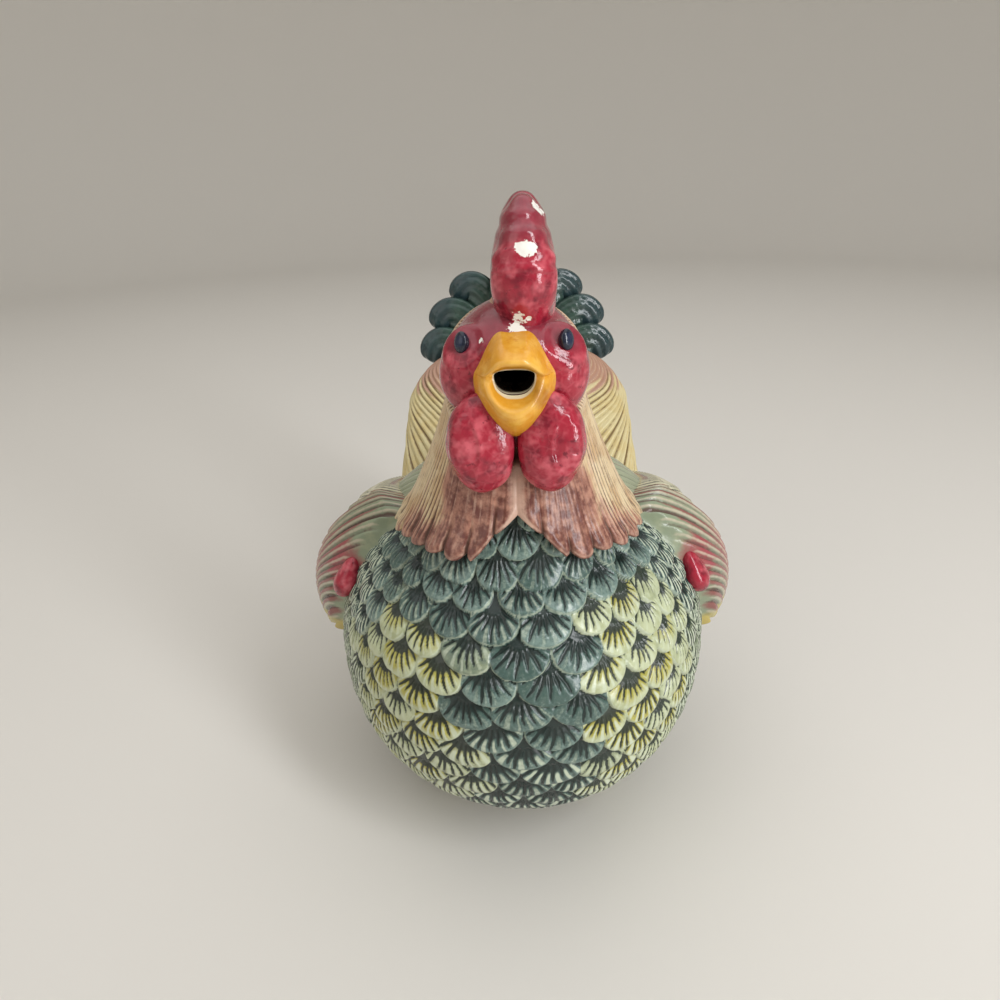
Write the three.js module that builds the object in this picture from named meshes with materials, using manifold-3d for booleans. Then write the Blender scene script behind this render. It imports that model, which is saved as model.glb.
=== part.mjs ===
// Rooster cream jug in glazed earthenware, filled through the back and poured through the open beak.
// Millimetres. The bird stands on z = 0, faces -Y, and its own left is +X.

import * as THREE from "three";
import { mergeVertices } from "three/addons/utils/BufferGeometryUtils.js";
import Module from "manifold-3d";

const wasm = await Module();
wasm.setup();

// Joints and walls
const SEAM = 0.3; // gap kept at every luted joint
const BODY_WALL = 4.2;
const FLOOR_THICKNESS = 5;
const NECK_WALL = 4;
const HEAD_WALL = 3;

// Body, measured from the foot's upright axis
const BODY_HALF_WIDTH = 44.5;
const BREAST_REACH = 54.5;
const RUMP_REACH = 50;
const BODY_TOP = 84;
const FLANK_HEIGHT = 40; // where the body is widest
const BREAST_HEIGHT = 52; // where the breast reaches furthest
const RUMP_HEIGHT = 50;
const BELLY_POWER = 2.2; // 2 is a round belly, more is squarer
const BELLY_SINK = 1.5; // how far below the table the belly curve would close

// Half-moon feathers, carved in staggered rows into the body's skin
const FEATHER_COUNT = 38; // in one row round the body
const FEATHER_CROWDING = 0.12; // how much closer they stand at the flanks than in front
const FEATHER_STEP = 5.6; // from row to row along the middle of the breast
const FEATHER_DEPTH = 1.2; // from a feather's rim down to the row below
const FEATHER_LEDGE = 0.25; // height of the step under a rim
const FEATHER_TOP = 76; // the skin is smooth above this, under cape and tail

// Foot
const FOOT_HEIGHT = 3.5;
const FOOT_RADIUS = 22;
const FOOT_RING_WIDTH = 4.5;

// Filling hole in the back
const FILLER_Y = 21.5;
const FILLER_HALF_WIDTH = 13.5;
const FILLER_HALF_LENGTH = 9.5;
const LIP_RADIUS = 2.4;
const LIP_RISE = 1; // middle of the rolled lip above the back

// Neck with its cape of hackle feathers
const HEM_HEIGHT = 70.5;
const HEM_FRONT_RISE = 4.2; // how much higher the hem sits over the breast
const HEM_SIDE_RISE = 5.5; // and over the flanks
const HEM_HALF_WIDTH = 28.5;
const HEM_HALF_DEPTH = 28.7;
const HEM_Y = -14.8;
const THROAT_HEIGHT = 110;
const THROAT_HALF_WIDTH = 12.5;
const THROAT_HALF_DEPTH = 12.6;
const THROAT_Y = -22.4;
const CAPE_FLARE = 1.34; // 1 is a straight cone, more flares late
const NAPE_COVER = 1.2; // how far the hackle stands proud of the back of the head
const CAPE_LOBES = 30; // hackle feathers round the hem
const LOBE_DEPTH = 1.1; // grooves between them at the hem
const LOBE_DROP = 1.6; // how far their tips hang below the grooves
const PARTING_HEIGHT = 87; // top of the notch where the cape parts in front
const PARTING_HALF_WIDTH = 13; // half the notch at the hem
const PARTING_DEPTH = 2.2; // how far the notch is cut into the cape at its top

// Head and cheeks
const HEAD_Y = -25;
const HEAD_HEIGHT = 112;
const HEAD_HALF_WIDTH = 12;
const HEAD_HALF_DEPTH = 14;
const HEAD_HALF_HEIGHT = 11.5;
const CHEEK_X = 7.6;
const CHEEK_Y = -30.5;
const CHEEK_HEIGHT = 111.5;
const CHEEK_HALF_WIDTH = 5.8;
const CHEEK_HALF_DEPTH = 6.5;
const CHEEK_HALF_HEIGHT = 8.2;
const CHIN_Y = -31;
const CHIN_HEIGHT = 104.5;
const CHIN_HALF_WIDTH = 9.5;
const CHIN_HALF_DEPTH = 6.5;
const CHIN_HALF_HEIGHT = 7;
const FACE_Y = -24; // the slanting joint between face and hackle passes here at the head's height
const FACE_SLANT = 50; // degrees from level

// Beak and pouring hole
const GAPE_HEIGHT = 113.2; // level of the line between the two halves
const BEAK_ROOT_Y = -32;
const BEAK_TIP_Y = -44;
const BEAK_HALF_WIDTH = 7.5;
const BEAK_RIDGE_RISE = 6.8; // ridge above the gape at the root
const BEAK_LIP_RISE = 2.6; // ridge above the gape at the tip
const JAW_ROOT_DROP = 7;
const JAW_TIP_DROP = 10.1;
const BEAK_TIP_HALF_WIDTH = 1.8;
const BEAK_ROUNDNESS = 2.2; // 2 is a round ridge
const JAW_ROUNDNESS = 1.8; // 1 is a sharp keel
const SPOUT_HALF_WIDTH = 4;
const SPOUT_HALF_HEIGHT = 3.3;
const SPOUT_HEIGHT = 112.4;

// Comb: a blade with a bulb on the forehead and lobes along its edge
const COMB_X = 1; // the comb is set a little to the bird's left
const COMB_Y = -21.5;
const COMB_HEIGHT = 128.8;
const COMB_HALF_WIDTH = 5.6;
const COMB_HALF_DEPTH = 11.5;
const COMB_HALF_HEIGHT = 8.4;
const COMB_LOBE_COUNT = 5;
const COMB_FRONT_ANGLE = 150; // first lobe, in degrees from level behind the blade
const COMB_BACK_ANGLE = 10; // last lobe
const COMB_LOBE_RADIUS = 5;
const COMB_EDGE_HALF_WIDTH = 4.2;
const BULB_Y = -30.8;
const BULB_HEIGHT = 127.6;
const BULB_HALF_WIDTH = 5.9;
const BULB_HALF_DEPTH = 5.6;
const BULB_HALF_HEIGHT = 7.8;

// Wattles and eyes
const WATTLE_X = 6.3;
const WATTLE_Y = -38;
const WATTLE_HEIGHT = 100.8;
const WATTLE_HALF_WIDTH = 6.1;
const WATTLE_HALF_DEPTH = 4.6;
const WATTLE_HALF_HEIGHT = 9.2;
const EYE_X = 9;
const EYE_Y = -34.5;
const EYE_HEIGHT = 117.8;
const EYE_HALF_WIDTH = 1.5;
const EYE_HALF_DEPTH = 1.6;
const EYE_HALF_HEIGHT = 1.9;

// Wings, laid on the flanks between angles measured from the breast
const WING_FRONT_ANGLE = 80;
const WING_SHOULDER_ANGLE = 60;
const WING_REAR_ANGLE = 143;
const WING_TOP = 76;
const WING_FRONT_BOTTOM = 38;
const WING_BOTTOM = 33;
const WING_TIP_TOP = 63;
const WING_TIP_BOTTOM = 50;
const WING_THICKNESS = 8;
const WING_EDGE = 1.2;
const WING_RAMP = 0.9; // 0.5 is a round front edge, more is a gentler slope
const SHOULDER_ANGLE = 66;
const SHOULDER_HEIGHT = 61;
const SHOULDER_STAND = 2.2; // middle of the red lobe outside the body
const SHOULDER_HALF_THICKNESS = 3.3;
const SHOULDER_HALF_LENGTH = 4.2;
const SHOULDER_HALF_HEIGHT = 5;

// Tail base, leaning back as it rises
const SADDLE_BOTTOM = 52;
const SADDLE_BOTTOM_Y = 31;
const SADDLE_BOTTOM_HALF_WIDTH = 35;
const SADDLE_BOTTOM_HALF_DEPTH = 15;
const SADDLE_TOP = 97;
const SADDLE_TOP_Y = 57;
const SADDLE_TOP_HALF_WIDTH = 29;
const SADDLE_TOP_HALF_DEPTH = 9.5;
const DOME_START = 0.7; // share of the way up where the tail base begins to close
const DOME_CLOSING = 8; // how fast it closes

// Drooping tail feathers on each side, as the points that their midlines pass
const SICKLES = {
  upper: [[4, 59, 92], [8, 62.5, 105], [13, 65.5, 109], [17.5, 67.5, 104.5]],
  middle: [[8, 58, 88], [14, 61, 100], [19.5, 63, 102], [23, 64, 97]],
  lower: [[12, 56, 84], [17.5, 58, 93], [22.5, 59.5, 94], [25, 60.5, 88.5]],
};
const SICKLE_HALF_WIDTH = 6;
const SICKLE_HALF_THICKNESS = 2.8;

// Handle, a long tail feather whose midline [y, z] loops down to the rump
const HANDLE_LINE = [
  [56, 92], [59, 110], [70, 118], [83, 113], [89, 96], [86, 74], [74, 54], [50, 38], [38, 34],
];
const HANDLE_HALF_WIDTH = 8;
const HANDLE_HALF_THICKNESS = 4.2;

// Glaze colours
const GLAZE = {
  breast: 0x6f7f58,
  hackle: 0xc9ab84,
  red: 0xa82f3f,
  amber: 0xdc9a2c,
  eye: 0x1e2436,
  wing: 0x9aa383,
  saddle: 0xd3c27c,
  tail: 0x33493f,
  cream: 0xe6ddc4,
  clay: 0xcdb597,
};

// Helpers that turn three.js geometry into closed solids and back

function solidFrom(geometry) {
  const bare = geometry.clone();
  bare.deleteAttribute("normal");
  bare.deleteAttribute("uv");
  const merged = mergeVertices(bare, 1e-4);
  const vertProperties = new Float32Array(merged.attributes.position.array);
  const triVerts = new Uint32Array(merged.index.array);
  return new wasm.Manifold(new wasm.Mesh({ numProp: 3, vertProperties, triVerts }));
}

function geometryFrom(solid) {
  const mesh = solid.getMesh();
  const geometry = new THREE.BufferGeometry();
  const positions = new Float32Array(mesh.vertProperties);
  geometry.setAttribute("position", new THREE.BufferAttribute(positions, 3));
  geometry.setIndex(new THREE.BufferAttribute(new Uint32Array(mesh.triVerts), 1));
  geometry.computeVertexNormals();
  return geometry;
}

// A solid less each of the tools. Trimming can leave crumbs, so only the main body is kept.
function cut(solid, ...tools) {
  const trimmed = tools.reduce((left, tool) => left.subtract(tool), solid);
  const bodies = trimmed.decompose();
  return bodies.reduce((best, body) => (body.volume() > best.volume() ? body : best));
}

// Edge of the blocks that stand for one side of a plane, larger than the cape and the head.
const HALF_SPACE = 2 * (HEM_HALF_WIDTH + HEAD_HALF_HEIGHT);

// How far a cutting shape runs on past what it cuts.
const RUN_OUT = 2 * BODY_WALL;

const mix = (from, to, share) => from + (to - from) * share;

function triangles(points, faces) {
  const geometry = new THREE.BufferGeometry();
  geometry.setFromPoints(points);
  geometry.setIndex(faces);
  return solidFrom(geometry);
}

// A closed solid through rings that run anticlockwise about its direction of travel. Each of its
// four-sided faces is split along one diagonal, or along the other one where crossed says so.
function loft(rings, crossed = () => false) {
  const count = rings[0].length;
  const points = rings.flat();
  const faces = [];
  for (let i = 0; i < rings.length - 1; i += 1) {
    for (let j = 0; j < count; j += 1) {
      const a = i * count + j;
      const b = i * count + (j + 1) % count;
      if (crossed(i, j)) {
        faces.push(a, b, a + count, b, b + count, a + count);
      } else {
        faces.push(a, b, b + count, a, b + count, a + count);
      }
    }
  }
  const lastStart = (rings.length - 1) * count;
  for (let j = 1; j < count - 1; j += 1) {
    faces.push(0, j + 1, j);
    faces.push(lastStart, lastStart + j, lastStart + j + 1);
  }
  return triangles(points, faces);
}

// A level ellipse, as a ring for a loft.
function levelRing(y, z, halfWidth, halfDepth, sides) {
  const ring = [];
  for (let j = 0; j < sides; j += 1) {
    const angle = (j / sides) * Math.PI * 2;
    ring.push(new THREE.Vector3(halfWidth * Math.sin(angle), y - halfDepth * Math.cos(angle), z));
  }
  return ring;
}

function ellipsoid(center, radii, sides = 24) {
  const ball = new THREE.SphereGeometry(1, sides, Math.round(sides * 0.6));
  ball.scale(radii[0], radii[1], radii[2]);
  ball.translate(center[0], center[1], center[2]);
  return solidFrom(ball);
}

// A rounded feather or strap along a curve; its width lies along the given direction.
function strap(curve, halfWidth, halfThickness, widthDirection, fullness, steps, sides) {
  const rings = [];
  for (let i = 0; i <= steps; i += 1) {
    const along = i / steps;
    const center = curve.getPoint(along);
    const tangent = curve.getTangent(along);
    const wide = widthDirection.clone().addScaledVector(tangent, -widthDirection.dot(tangent)).normalize();
    const thick = tangent.clone().cross(wide);
    const full = fullness(along);
    const ring = [];
    for (let j = 0; j < sides; j += 1) {
      const angle = (j / sides) * Math.PI * 2;
      const point = center.clone();
      point.addScaledVector(wide, halfWidth * full * Math.cos(angle));
      point.addScaledVector(thick, halfThickness * full * Math.sin(angle));
      ring.push(point);
    }
    rings.push(ring);
  }
  return loft(rings);
}

// Body shell: an egg whose breast, flanks and rump each swell at their own height

// How far its rings follow the curve over the crown before a flat face closes it.
const CROWN_ANGLE = THREE.MathUtils.degToRad(85);

function bodyReach(half, widest, z, grow) {
  if (z > widest) {
    return (half + grow) * Math.sqrt(Math.max(0, 1 - ((z - widest) / (BODY_TOP + grow - widest)) ** 2));
  }
  const depth = (widest - z) / (widest + BELLY_SINK + grow);
  return (half + grow) * (1 - depth ** BELLY_POWER) ** (1 / BELLY_POWER);
}

// A point of the body's skin; angle 0 is the breast and 90 degrees the bird's left flank.
function bodyPoint(angle, z, grow) {
  const side = bodyReach(BODY_HALF_WIDTH, FLANK_HEIGHT, z, grow);
  const front = bodyReach(BREAST_REACH, BREAST_HEIGHT, z, grow);
  const back = bodyReach(RUMP_REACH, RUMP_HEIGHT, z, grow);
  const along = Math.cos(angle) > 0 ? front : back;
  const radius = 1 / Math.hypot(Math.sin(angle) / side, Math.cos(angle) / along);
  return new THREE.Vector3(radius * Math.sin(angle), -radius * Math.cos(angle), z);
}

function bodyNormal(angle, z) {
  const step = 0.01;
  const around = bodyPoint(angle + step, z, 0).sub(bodyPoint(angle - step, z, 0));
  const up = bodyPoint(angle, z + step, 0).sub(bodyPoint(angle, z - step, 0));
  return around.cross(up).normalize();
}

function bodySolid(grow, bottom, sides, steps) {
  const rings = [];
  for (let i = 0; i <= steps; i += 1) {
    const z = bottom + (BODY_TOP + grow - bottom) * Math.sin((CROWN_ANGLE * i) / steps);
    const ring = [];
    for (let j = 0; j < sides; j += 1) {
      ring.push(bodyPoint((j / sides) * Math.PI * 2, z, grow));
    }
    rings.push(ring);
  }
  return loft(rings);
}

// Angle of a place in a row of feathers, which stand closer together at the flanks.
function featherAngle(place) {
  const even = (place / FEATHER_COUNT) * Math.PI * 2;
  let angle = even;
  for (let i = 0; i < 20; i += 1) {
    angle = even + FEATHER_CROWDING * Math.sin(2 * angle);
  }
  return angle;
}

// Heights that lie one feather row apart along the middle of the breast.
function featherLevels() {
  const stride = FEATHER_STEP / 200;
  const levels = [BODY_BOTTOM];
  let walked = 0;
  for (let z = BODY_BOTTOM; z < FEATHER_TOP + FEATHER_STEP; z += stride) {
    walked += bodyPoint(0, z + stride, 0).distanceTo(bodyPoint(0, z, 0));
    if (walked > FEATHER_STEP * levels.length) {
      levels.push(z);
    }
  }
  return levels;
}

// The body with its feathers: each row runs out to a rim that hangs over the row below, with its tips
// over that row's gaps. Everything is carved inwards from the smooth skin.
function featheredBody() {
  const points = 2 * FEATHER_COUNT;
  const levels = featherLevels();
  const isTip = (row, j) => (row + j) % 2 === 0;
  const ringAt = (heightOf, grow) => {
    const ring = [];
    for (let j = 0; j < points; j += 1) {
      ring.push(bodyPoint(featherAngle(j / 2), heightOf(j), grow));
    }
    return ring;
  };
  const rings = [ringAt(() => BODY_BOTTOM, -FEATHER_DEPTH / 2)];
  for (let row = 1; row < levels.length - 1; row += 1) {
    const rim = (j) => (isTip(row, j) ? levels[row] : mix(levels[row], levels[row + 1], 0.5));
    rings.push(ringAt((j) => rim(j) - FEATHER_LEDGE, -FEATHER_DEPTH));
    rings.push(ringAt(rim, -SEAM / 2));
  }
  const crownSteps = 5;
  const start = levels[levels.length - 1];
  for (let i = 0; i <= crownSteps; i += 1) {
    const z = start + (BODY_TOP - start) * Math.sin((CROWN_ANGLE * i) / crownSteps);
    rings.push(ringAt(() => z, -SEAM / 2));
  }
  return loft(rings, (i, j) => isTip(Math.floor(i / 2), j));
}

// Height of the back above a point, found by halving.
function backHeight(x, y) {
  let low = FLANK_HEIGHT;
  let high = BODY_TOP;
  for (let i = 0; i < 30; i += 1) {
    const middle = (low + high) / 2;
    const edge = bodyPoint(Math.atan2(x, -y), middle, 0);
    if (Math.hypot(edge.x, edge.y) > Math.hypot(x, y)) {
      low = middle;
    } else {
      high = middle;
    }
  }
  return low;
}

const BODY_BOTTOM = FOOT_HEIGHT + SEAM;
const bodySkin = featheredBody();
const bodyClear = bodySolid(SEAM, BODY_BOTTOM - SEAM, 56, 18);
const chamber = bodySolid(-BODY_WALL, BODY_BOTTOM + FLOOR_THICKNESS, 28, 9);

function fillerRing(z, grow) {
  return levelRing(FILLER_Y, z, FILLER_HALF_WIDTH + grow, FILLER_HALF_LENGTH + grow, 28);
}
const fillerBore = loft([fillerRing(BODY_TOP / 2, 0), fillerRing(BODY_TOP + 2 * LIP_RADIUS, 0)]);
const lipClear = 2 * LIP_RADIUS + SEAM;
const fillerClear = loft([fillerRing(BODY_TOP / 2, lipClear), fillerRing(SADDLE_TOP + 2 * SEAM, lipClear)]);

// The lip is a roll that follows the back round the filling hole.
function fillerLip() {
  const steps = 28;
  const sides = 8;
  const points = [];
  const faces = [];
  for (let i = 0; i < steps; i += 1) {
    const angle = (i / steps) * Math.PI * 2;
    const outward = new THREE.Vector3(Math.sin(angle), -Math.cos(angle), 0);
    const x = (FILLER_HALF_WIDTH + LIP_RADIUS) * outward.x;
    const y = FILLER_Y + (FILLER_HALF_LENGTH + LIP_RADIUS) * outward.y;
    const center = new THREE.Vector3(x, y, backHeight(x, y) + LIP_RISE);
    for (let j = 0; j < sides; j += 1) {
      const turn = (j / sides) * Math.PI * 2;
      const point = center.clone().addScaledVector(outward, LIP_RADIUS * Math.cos(turn));
      point.z += LIP_RADIUS * Math.sin(turn);
      points.push(point);
      const next = ((i + 1) % steps) * sides;
      const a = i * sides + j;
      const b = i * sides + (j + 1) % sides;
      faces.push(a, next + j, next + (j + 1) % sides, a, next + (j + 1) % sides, b);
    }
  }
  return triangles(points, faces);
}

// Neck: a cape that flares from the throat to the hem

function capeShare(z) {
  return Math.max(0, (THROAT_HEIGHT - z) / (THROAT_HEIGHT - HEM_HEIGHT)) ** CAPE_FLARE;
}

// A point of the cape's skin; angle 0 is over the breast.
function neckPoint(angle, z, grow) {
  const share = capeShare(z);
  const halfWidth = mix(THROAT_HALF_WIDTH, HEM_HALF_WIDTH, share) + grow;
  const halfDepth = mix(THROAT_HALF_DEPTH, HEM_HALF_DEPTH, share) + grow;
  const y = mix(THROAT_Y, HEM_Y, share) - halfDepth * Math.cos(angle);
  return new THREE.Vector3(halfWidth * Math.sin(angle), y, z);
}

// A ring of the cape part of the way up from its hem, which rises over breast and flanks. Points on the
// lobes take turns with points in the grooves between them, which run out upwards.
function neckRing(along, grow) {
  const sides = 2 * CAPE_LOBES;
  const ring = [];
  for (let j = 0; j < sides; j += 1) {
    const angle = (j / sides) * Math.PI * 2;
    const rise = HEM_FRONT_RISE * Math.max(0, Math.cos(angle)) ** 2 + HEM_SIDE_RISE * Math.sin(angle) ** 2;
    const onLobe = j % 2 === 1;
    const hem = HEM_HEIGHT + rise - (onLobe ? LOBE_DROP : 0) - grow;
    const groove = onLobe ? 0 : LOBE_DEPTH * (1 - along) ** 2;
    ring.push(neckPoint(angle, mix(hem, THROAT_HEIGHT, along), grow - groove));
  }
  return ring;
}

// Everything on the face's side of the slanting joint, moved forward by the given distance.
function faceSide(forward) {
  const block = new THREE.BoxGeometry(HALF_SPACE, HALF_SPACE, HALF_SPACE);
  block.translate(0, -HALF_SPACE / 2 - forward, 0);
  block.rotateX(THREE.MathUtils.degToRad(FACE_SLANT - 90));
  block.translate(0, FACE_Y, HEAD_HEIGHT);
  return solidFrom(block);
}

function skull(grow, sides) {
  const radii = [HEAD_HALF_WIDTH + grow, HEAD_HALF_DEPTH + grow, HEAD_HALF_HEIGHT + grow];
  return ellipsoid([0, HEAD_Y, HEAD_HEIGHT], radii, sides);
}

// The cape and the hackle over the back of the head, up to the joint with the face.
function neckSolid(grow) {
  const steps = 7;
  const rings = [];
  for (let i = 0; i <= steps; i += 1) {
    rings.push(neckRing(i / steps, grow));
  }
  return loft(rings).add(skull(NAPE_COVER + grow, 22)).subtract(faceSide(grow));
}

// The way for the cream: a straight bore through the back, then the cape's own taper.
function neckPassage() {
  const sides = 28;
  const steps = 5;
  const top = HEAD_HEIGHT - HEAD_HALF_HEIGHT / 2;
  const angles = Array.from({ length: sides }, (_, j) => (j / sides) * Math.PI * 2);
  const levelAt = (z) => angles.map((angle) => neckPoint(angle, z, -NECK_WALL));
  const foot = levelAt(BODY_TOP).map((point) => point.setZ(HEM_HEIGHT - BODY_WALL * 2));
  const rings = [foot];
  for (let i = 0; i <= steps; i += 1) {
    rings.push(levelAt(mix(BODY_TOP, top, i / steps)));
  }
  return loft(rings);
}

// Wedge that parts the cape over the breast.
function partingWedge() {
  const front = HEM_Y - HEM_HALF_DEPTH - RUN_OUT;
  const notch = new THREE.Shape();
  notch.moveTo(0, PARTING_HEIGHT);
  notch.lineTo(-PARTING_HALF_WIDTH, HEM_HEIGHT);
  notch.lineTo(PARTING_HALF_WIDTH, HEM_HEIGHT);
  const depth = neckPoint(0, PARTING_HEIGHT, 0).y + PARTING_DEPTH - front;
  const wedge = new THREE.ExtrudeGeometry(notch, { depth, bevelEnabled: false });
  wedge.rotateX(Math.PI / 2);
  wedge.translate(0, front + depth, 0);
  return solidFrom(wedge);
}

const neckSkin = neckSolid(0);
const neckClear = neckSolid(SEAM);
const passage = neckPassage();

// Head, beak and the applied lobes

function headSolid(grow) {
  const chin = [CHIN_HALF_WIDTH + grow, CHIN_HALF_DEPTH + grow, CHIN_HALF_HEIGHT + grow];
  let head = skull(grow, 22).add(ellipsoid([0, CHIN_Y, CHIN_HEIGHT], chin, 16));
  for (const side of [1, -1]) {
    const cheek = [CHEEK_HALF_WIDTH + grow, CHEEK_HALF_DEPTH + grow, CHEEK_HALF_HEIGHT + grow];
    head = head.add(ellipsoid([side * CHEEK_X, CHEEK_Y, CHEEK_HEIGHT], cheek, 16));
  }
  return head;
}

const headSkin = headSolid(0);
const headClear = headSolid(SEAM);
const headCavity = skull(-HEAD_WALL, 16);

// The pouring hole runs level from the head's hollow out past the beak.
function spoutBore() {
  const hole = new THREE.Shape();
  hole.absellipse(0, SPOUT_HEIGHT, SPOUT_HALF_WIDTH, SPOUT_HALF_HEIGHT, 0, Math.PI * 2);
  const depth = HEAD_Y - BEAK_TIP_Y + RUN_OUT;
  const bore = new THREE.ExtrudeGeometry(hole, { depth, bevelEnabled: false, curveSegments: 10 });
  bore.rotateX(Math.PI / 2);
  bore.translate(0, HEAD_Y, 0);
  return solidFrom(bore);
}
const spout = spoutBore();

// One half of the beak: keeled or rounded rings from the root to the tip, flat on the gape.
function beakHalf(direction, rootReach, tipReach, roundness, grow) {
  const steps = 6;
  const sides = 12;
  const level = GAPE_HEIGHT + (direction * SEAM) / 2;
  const rings = [];
  for (let i = 0; i <= steps; i += 1) {
    const along = i / steps;
    const y = mix(BEAK_ROOT_Y, BEAK_TIP_Y - grow, along);
    const halfWidth = mix(BEAK_TIP_HALF_WIDTH, BEAK_HALF_WIDTH, Math.sqrt(1 - along * along)) + grow;
    const reach = mix(rootReach, tipReach, along * along) + grow;
    const ring = [];
    for (let j = 0; j <= sides; j += 1) {
      const across = Math.cos((j / sides) * Math.PI);
      const rise = reach * (1 - Math.abs(across) ** roundness);
      ring.push(new THREE.Vector3(direction * halfWidth * across, y, level + direction * rise));
    }
    rings.push(ring);
  }
  return loft(rings);
}

const upperBeakSkin = beakHalf(1, BEAK_RIDGE_RISE, BEAK_LIP_RISE, BEAK_ROUNDNESS, 0);
const lowerBeakSkin = beakHalf(-1, JAW_ROOT_DROP, JAW_TIP_DROP, JAW_ROUNDNESS, 0);
const upperBeakClear = beakHalf(1, BEAK_RIDGE_RISE, BEAK_LIP_RISE, BEAK_ROUNDNESS, SEAM);
const lowerBeakClear = beakHalf(-1, JAW_ROOT_DROP, JAW_TIP_DROP, JAW_ROUNDNESS, SEAM);

function combSolid() {
  const blade = [COMB_HALF_WIDTH, COMB_HALF_DEPTH, COMB_HALF_HEIGHT];
  const bulb = [BULB_HALF_WIDTH, BULB_HALF_DEPTH, BULB_HALF_HEIGHT];
  const lobe = [COMB_EDGE_HALF_WIDTH, COMB_LOBE_RADIUS, COMB_LOBE_RADIUS];
  let comb = ellipsoid([COMB_X, COMB_Y, COMB_HEIGHT], blade, 16);
  comb = comb.add(ellipsoid([COMB_X, BULB_Y, BULB_HEIGHT], bulb, 16));
  for (let i = 0; i < COMB_LOBE_COUNT; i += 1) {
    const angle = THREE.MathUtils.degToRad(mix(COMB_FRONT_ANGLE, COMB_BACK_ANGLE, i / (COMB_LOBE_COUNT - 1)));
    const y = COMB_Y + (COMB_HALF_DEPTH - COMB_LOBE_RADIUS / 3) * Math.cos(angle);
    const z = COMB_HEIGHT + (COMB_HALF_HEIGHT - COMB_LOBE_RADIUS / 3) * Math.sin(angle);
    comb = comb.add(ellipsoid([COMB_X, y, z], lobe, 12));
  }
  return comb;
}

// Everything on one side of the bird's middle, up to the seam there.
function ownSide(side) {
  const block = new THREE.BoxGeometry(HALF_SPACE, HALF_SPACE, HALF_SPACE);
  block.translate(side * (HALF_SPACE / 2 + SEAM / 2), WATTLE_Y, WATTLE_HEIGHT);
  return solidFrom(block);
}

function wattle(side) {
  const radii = [WATTLE_HALF_WIDTH, WATTLE_HALF_DEPTH, WATTLE_HALF_HEIGHT];
  return ellipsoid([side * WATTLE_X, WATTLE_Y, WATTLE_HEIGHT], radii, 16);
}

function eye(side, grow) {
  const radii = [EYE_HALF_WIDTH + grow, EYE_HALF_DEPTH + grow, EYE_HALF_HEIGHT + grow];
  return ellipsoid([side * EYE_X, EYE_Y, EYE_HEIGHT], radii, 12);
}

// Wings: thick patches laid on the body's skin

function wingPlace(side, along, up) {
  const front = mix(WING_FRONT_ANGLE, WING_SHOULDER_ANGLE, up);
  const angle = THREE.MathUtils.degToRad(mix(front, WING_REAR_ANGLE, along)) * side;
  const keel = mix(WING_FRONT_BOTTOM, WING_BOTTOM, Math.sin(along * Math.PI));
  const low = mix(keel, WING_TIP_BOTTOM, along ** 3);
  const high = mix(WING_TOP, WING_TIP_TOP, along ** 2);
  return { angle, z: mix(low, high, up) };
}

function wingSolid(side) {
  const columns = 12;
  const rows = 8;
  const outer = [];
  const inner = [];
  for (let i = 0; i <= columns; i += 1) {
    for (let j = 0; j <= rows; j += 1) {
      const along = i / columns;
      const up = j / rows;
      const { angle, z } = wingPlace(side, along, up);
      const skin = bodyPoint(angle, z, 0);
      const normal = bodyNormal(angle, z);
      const lengthwise = Math.max(0, Math.sin(Math.PI * along ** 0.6)) ** WING_RAMP;
      const upright = Math.sqrt(Math.max(0, Math.sin(Math.PI * up ** 0.8)));
      const thickness = mix(WING_EDGE, WING_THICKNESS, lengthwise * upright);
      outer.push(skin.clone().addScaledVector(normal, SEAM + thickness));
      inner.push(skin.clone().addScaledVector(normal, SEAM));
    }
  }
  const faces = [];
  const total = outer.length;
  const stride = rows + 1;
  const quad = (a, b, c, d) => (side > 0 ? faces.push(a, b, c, a, c, d) : faces.push(a, c, b, a, d, c));
  for (let i = 0; i < columns; i += 1) {
    for (let j = 0; j < rows; j += 1) {
      const a = i * stride + j;
      quad(a, a + stride, a + stride + 1, a + 1);
      quad(total + a, total + a + 1, total + a + stride + 1, total + a + stride);
    }
    const low = i * stride;
    const high = low + rows;
    quad(low, total + low, total + low + stride, low + stride);
    quad(high, high + stride, total + high + stride, total + high);
  }
  for (let j = 0; j < rows; j += 1) {
    const front = j;
    const rear = columns * stride + j;
    quad(front, front + 1, total + front + 1, total + front);
    quad(rear, total + rear, total + rear + 1, rear + 1);
  }
  return triangles(outer.concat(inner), faces);
}

function shoulder(side, grow) {
  const angle = THREE.MathUtils.degToRad(SHOULDER_ANGLE) * side;
  const center = bodyPoint(angle, SHOULDER_HEIGHT, SHOULDER_STAND);
  const radii = [SHOULDER_HALF_THICKNESS + grow, SHOULDER_HALF_LENGTH + grow, SHOULDER_HALF_HEIGHT + grow];
  return ellipsoid([center.x, center.y, center.z], radii, 16);
}

// Tail base, drooping feathers and handle

function saddleSolid(grow) {
  const steps = 8;
  const bottom = SADDLE_BOTTOM - grow;
  const top = SADDLE_TOP + grow;
  const rings = [];
  for (let i = 0; i <= steps; i += 1) {
    const along = i / steps;
    const dome = Math.sqrt(1 - Math.max(0, along - DOME_START) ** 2 * DOME_CLOSING);
    const halfWidth = mix(SADDLE_BOTTOM_HALF_WIDTH, SADDLE_TOP_HALF_WIDTH, along) * dome + grow;
    const halfDepth = mix(SADDLE_BOTTOM_HALF_DEPTH, SADDLE_TOP_HALF_DEPTH, along) * dome + grow;
    const y = mix(SADDLE_BOTTOM_Y, SADDLE_TOP_Y, along);
    rings.push(levelRing(y, mix(bottom, top, along), halfWidth, halfDepth, 28));
  }
  return loft(rings);
}
const saddleClear = saddleSolid(SEAM);

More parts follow.
